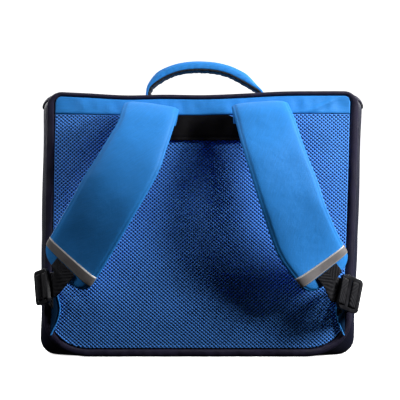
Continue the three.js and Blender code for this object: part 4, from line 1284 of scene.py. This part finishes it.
class RANSEL_OT_tabs(bpy.types.Operator):
    """Cloth tabs over the binding at the lower corners, crowned a little between their edges"""
    bl_idname = "ransel.tabs"
    bl_label = "Corner tabs"

    def execute(self, context):
        s = sizes()
        share = np.linspace(0, 1, 40)
        inward, up = (row_curve(column, share) for column in zip(*TAB_ROWS))
        outer = s.bag_width / 2 - TAB_EDGE
        for name, side in SIDES.items():
            reach = np.linspace(0, 1, 12)
            x = side * (outer - TAB_REACH * np.maximum(inward, 0)[:, None] * reach)
            z = TAB_FOOT + TAB_HEIGHT * up[:, None] + 0 * x
            crown = 0.6 * MM * np.sin(reach * math.pi) * np.sin(share * math.pi)[:, None]
            low = s.binding_thick + s.gap
            face = on_back(x, z, low + s.cloth * 0.8 + crown)
            # The tabs take a near-black copy of the sky cloth: painted shade
            piece = sheet_piece(f"tab_{name}", face, on_back(x, z, low), x, z, "tab_cloth_painted_shade")
            finish_piece(piece, [f"corner_tab_{name}"])
            rim = on_back(x[2:-2, -1], z[2:-2, -1], low + s.cloth)
            angle = np.linspace(0, TAU, 11)[:-1]
            around = np.stack([np.cos(angle), np.sin(angle), 0 * angle], axis=-1)
            sections = rim[:, None] + around * 0.9 * MM
            piece = closed_piece(f"tab_edge_{name}", sections, spread(angle * MM, walked(rim)), "sky_cloth")
            finish_piece(piece, [])
        return {"FINISHED"}


# The handle's line from left to right: shares of its span and of its rise
HANDLE_ROWS = (
    (-0.5, 0), (-0.5, 0.2), (-0.47, 0.43), (-0.36, 0.72), (-0.23, 0.92), (-0.08, 1), (0.07, 0.96),
    (0.2, 0.82), (0.31, 0.6), (0.41, 0.36), (0.48, 0.17), (0.5, 0.07), (0.5, 0),
)


def handle_line(share):
    """Middle of the handle between its sleeve and its webbing, and the outward direction, at each share"""
    s, t, f = sizes(), strap_sizes(), flap_sizes()
    seat = rim_height(t.handle_back - t.handle_width / 2) + s.gap + f.thick + 2 * s.gap

    def middle(at):
        across, up = (row_curve(column, at) for column in zip(*HANDLE_ROWS))
        x = t.handle_aside + t.handle_span * across
        return stand(x, t.handle_back - s.bag_depth / 2, seat + t.handle_rise * up)

    along = middle(np.minimum(share + 1e-3, 1)) - middle(np.maximum(share - 1e-3, 0))
    along /= np.linalg.norm(along, axis=1, keepdims=True)
    return middle(share), np.cross(along, np.array([0.0, 1.0, 0.0]))


class RANSEL_OT_handle(bpy.types.Operator):
    """Carrying handle: a padded sleeve swollen by cloth simulation over a gathered webbing underside"""
    bl_idname = "ransel.handle"
    bl_label = "Carrying handle"

    def execute(self, context):
        s, t = sizes(), strap_sizes()
        share = np.linspace(0, 1, 110)
        middle, normal = handle_line(share)
        walk = walked(middle)
        across = np.sin(np.linspace(-1, 1, 17) * math.pi / 2)
        aside = t.handle_width / 2 * across
        gather = 0.35 * MM * ripple(walk, 0, 4, 0.012)[:, None] * (1 - bulge(across))
        ends = smoothstep(np.minimum(walk, walk[-1] - walk), 4 * MM, 34 * MM)[:, None]
        full = (t.grip_thick * 1.12 - t.grip_edge) * (0.2 + 0.8 * ends)
        top = s.gap / 2 + t.grip_edge * (1 + 0.6 * ends) + full * bulge(across) + gather
        low = s.gap / 2 + 0 * top
        side = aside[:, None] * np.array([0.0, 1.0, 0.0])
        upper = middle[:, None] + side + normal[:, None] * top[..., None]
        under = middle[:, None] + side + normal[:, None] * low[..., None]
        grip = sheet_piece("handle_sleeve", upper, under, walk[:, None], aside, "sky_cloth")
        near = nearest(coordinates(grip), under.reshape(-1, 3)[::2]) < 1.8 * MM
        swell(grip, pressure=1.5, cap=1.6 * MM, held=1.0 * near)
        soft(grip)
        finish_piece(grip, ["handle_grip"])

        pucker = ripple(walk, 0, 6, 0.0065)[:, None]
        edge = (np.abs(across) ** 3)[None, :]
        thick = t.webbing_thick * 2.0
        upper = middle[:, None] + side - normal[:, None] * (s.gap / 2 + 0 * edge)[..., None]
        drop = s.gap / 2 + thick * (1 - 0.35 * edge) + 0.55 * MM * pucker * (0.4 + edge)
        under = middle[:, None] + side * 0.97 - normal[:, None] * drop[..., None]
        piece = sheet_piece("handle_underside", upper, under, aside, walk[:, None], "webbing")
        finish_piece(piece, ["handle_webbing"])
        return {"FINISHED"}


# Rows of lamps: name, place, target, size and power. Those in FLOOR_LAMPS light the floor alone.
LAMPS = (
    ("key", (1.0, -0.5, 0.7), (0.0, 0.0, 0.2), 0.3, 18.5),
    ("key_high", (0.75, -0.6, 1.0), (0.0, 0.0, 0.2), 0.3, 4.2),
    ("left_high", (-0.85, -0.4, 1.05), (0.0, 0.0, 0.2), 0.3, 6.5),
    ("top", (0.0, 0.5, 1.4), (0.0, 0.1, 0.2), 0.8, 6.0),
    ("front_left", (-1.2, 1.2, 0.9), (0.0, 0.0, 0.18), 0.5, 13.0),
    ("front_right", (1.3, 1.1, 0.9), (0.0, 0.0, 0.18), 0.5, 16.0),
)
FLOOR_LAMPS = (
    ("floor_front", (0.0, -0.9, 1.5), (0.0, -0.3, 0.0), 1.0, 40.0),
    ("floor_over", (0.0, 0.0, 3.2), (0.0, 0.0, 0.0), 4.0, 130.0),
)


class RANSEL_OT_stage(bpy.types.Operator):
    """Pale floor that curves up behind the bag, soft studio lights and the camera"""
    bl_idname = "ransel.stage"
    bl_label = "Floor, lights and camera"

    def execute(self, context):
        floor = self.floor()
        for row in LAMPS:
            self.light(*row)
        lit = bpy.data.collections.new("floor_only")
        lit.objects.link(floor)
        for row in FLOOR_LAMPS:
            self.light(*row).light_linking.receiver_collection = lit
        self.world()
        data = bpy.data.cameras.new("camera")
        data.lens = 104.8
        data.sensor_width = 36
        camera = bpy.data.objects.new("camera", data)
        camera.location = (0.0037, -1.484, 0.1888)
        camera.rotation_euler = (math.radians(90), 0, 0)
        bpy.context.scene.collection.objects.link(camera)
        bpy.context.scene.camera = camera
        bpy.context.scene.view_settings.view_transform = "Standard"
        return {"FINISHED"}

    def floor(self):
        """A bowl in two parameters: round the middle, and outwards along a line that is flat, then turns
        up on an arc and goes on as a wall"""
        flat_run, radius, wall = 3.4, 0.8, 3.4
        angle = np.linspace(0, 1, 16)[1:] * math.pi / 2
        out = np.concatenate([np.linspace(0, flat_run, 24), flat_run + radius * np.sin(angle),
                              [flat_run + radius]])
        z = np.concatenate([np.zeros(24), radius * (1 - np.cos(angle)), [wall]])
        turn = np.linspace(0, TAU, 97)
        x, y = out[:, None] * np.cos(turn), out[:, None] * np.sin(turn)
        points = np.stack(np.broadcast_arrays(x, y, z[:, None]), axis=-1)
        look = Look("floor")
        place = look.place()
        slow = look.ramp(look.noise(place, 0.4, 3.0), 0.3, 0.7)
        base = look.mix(slow, (0.91, 0.91, 0.91), (0.94, 0.94, 0.94))
        look.set(Base_Color=base, Roughness=0.75, Normal=look.bump(look.noise(place, 0.002), 0.1 * MM, 0.2),
                 Emission_Color=(1.0, 1.0, 1.0), Emission_Strength=0.8)
        look.material.cycles.emission_sampling = "NONE"
        floor = add_grid("floor", points, points[..., :2], look.material)
        floor.visible_diffuse = False
        floor.visible_glossy = False
        return floor

    def light(self, name, place, target, size, power):
        """A round soft lamp at a place, aimed at a target"""
        data = bpy.data.lights.new(name, "AREA")
        data.shape = "DISK"
        data.size = size
        data.energy = power
        lamp = bpy.data.objects.new(name, data)
        lamp.location = place
        lamp.rotation_euler = (Vector(target) - Vector(place)).to_track_quat("-Z", "Y").to_euler()
        bpy.context.scene.collection.objects.link(lamp)
        return lamp

    def world(self):
        world = bpy.data.worlds.new("studio")
        world.use_nodes = True
        shade = world.node_tree.nodes["Background"]
        shade.inputs["Color"].default_value = (0.95, 0.97, 1.0, 1.0)
        shade.inputs["Strength"].default_value = 0.012
        bpy.context.scene.world = world


OPERATORS = (
    RANSEL_OT_air_mesh, RANSEL_OT_band, RANSEL_OT_patch, RANSEL_OT_back_binding, RANSEL_OT_body,
    RANSEL_OT_flap, RANSEL_OT_flap_binding, RANSEL_OT_straps, RANSEL_OT_tapes, RANSEL_OT_webbing,
    RANSEL_OT_hardware, RANSEL_OT_tabs, RANSEL_OT_handle, RANSEL_OT_stage,
)


class RANSEL_PT_panel(bpy.types.Panel):
    """Lists the bag's pieces and its stage in the 3D view's sidebar"""
    bl_idname = "RANSEL_PT_panel"
    bl_label = "School ransel"
    bl_space_type = "VIEW_3D"
    bl_region_type = "UI"
    bl_category = "Ransel"

    def draw(self, context):
        for operator in OPERATORS:
            self.layout.operator(operator.bl_idname)


CLASSES = (*SETTINGS.values(), *OPERATORS, RANSEL_PT_panel)


def register():
    for kind in CLASSES:
        bpy.utils.register_class(kind)
    for name, kind in SETTINGS.items():
        setattr(bpy.types.Scene, name, bpy.props.PointerProperty(type=kind))


def unregister():
    for name in SETTINGS:
        delattr(bpy.types.Scene, name)
    for kind in reversed(CLASSES):
        bpy.utils.unregister_class(kind)


def main():
    """Builds everything in order"""
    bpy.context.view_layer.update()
    register()
    for operator in OPERATORS:
        group, call = operator.bl_idname.split(".")
        getattr(getattr(bpy.ops, group), call)()


if __name__ == "__main__":
    main()
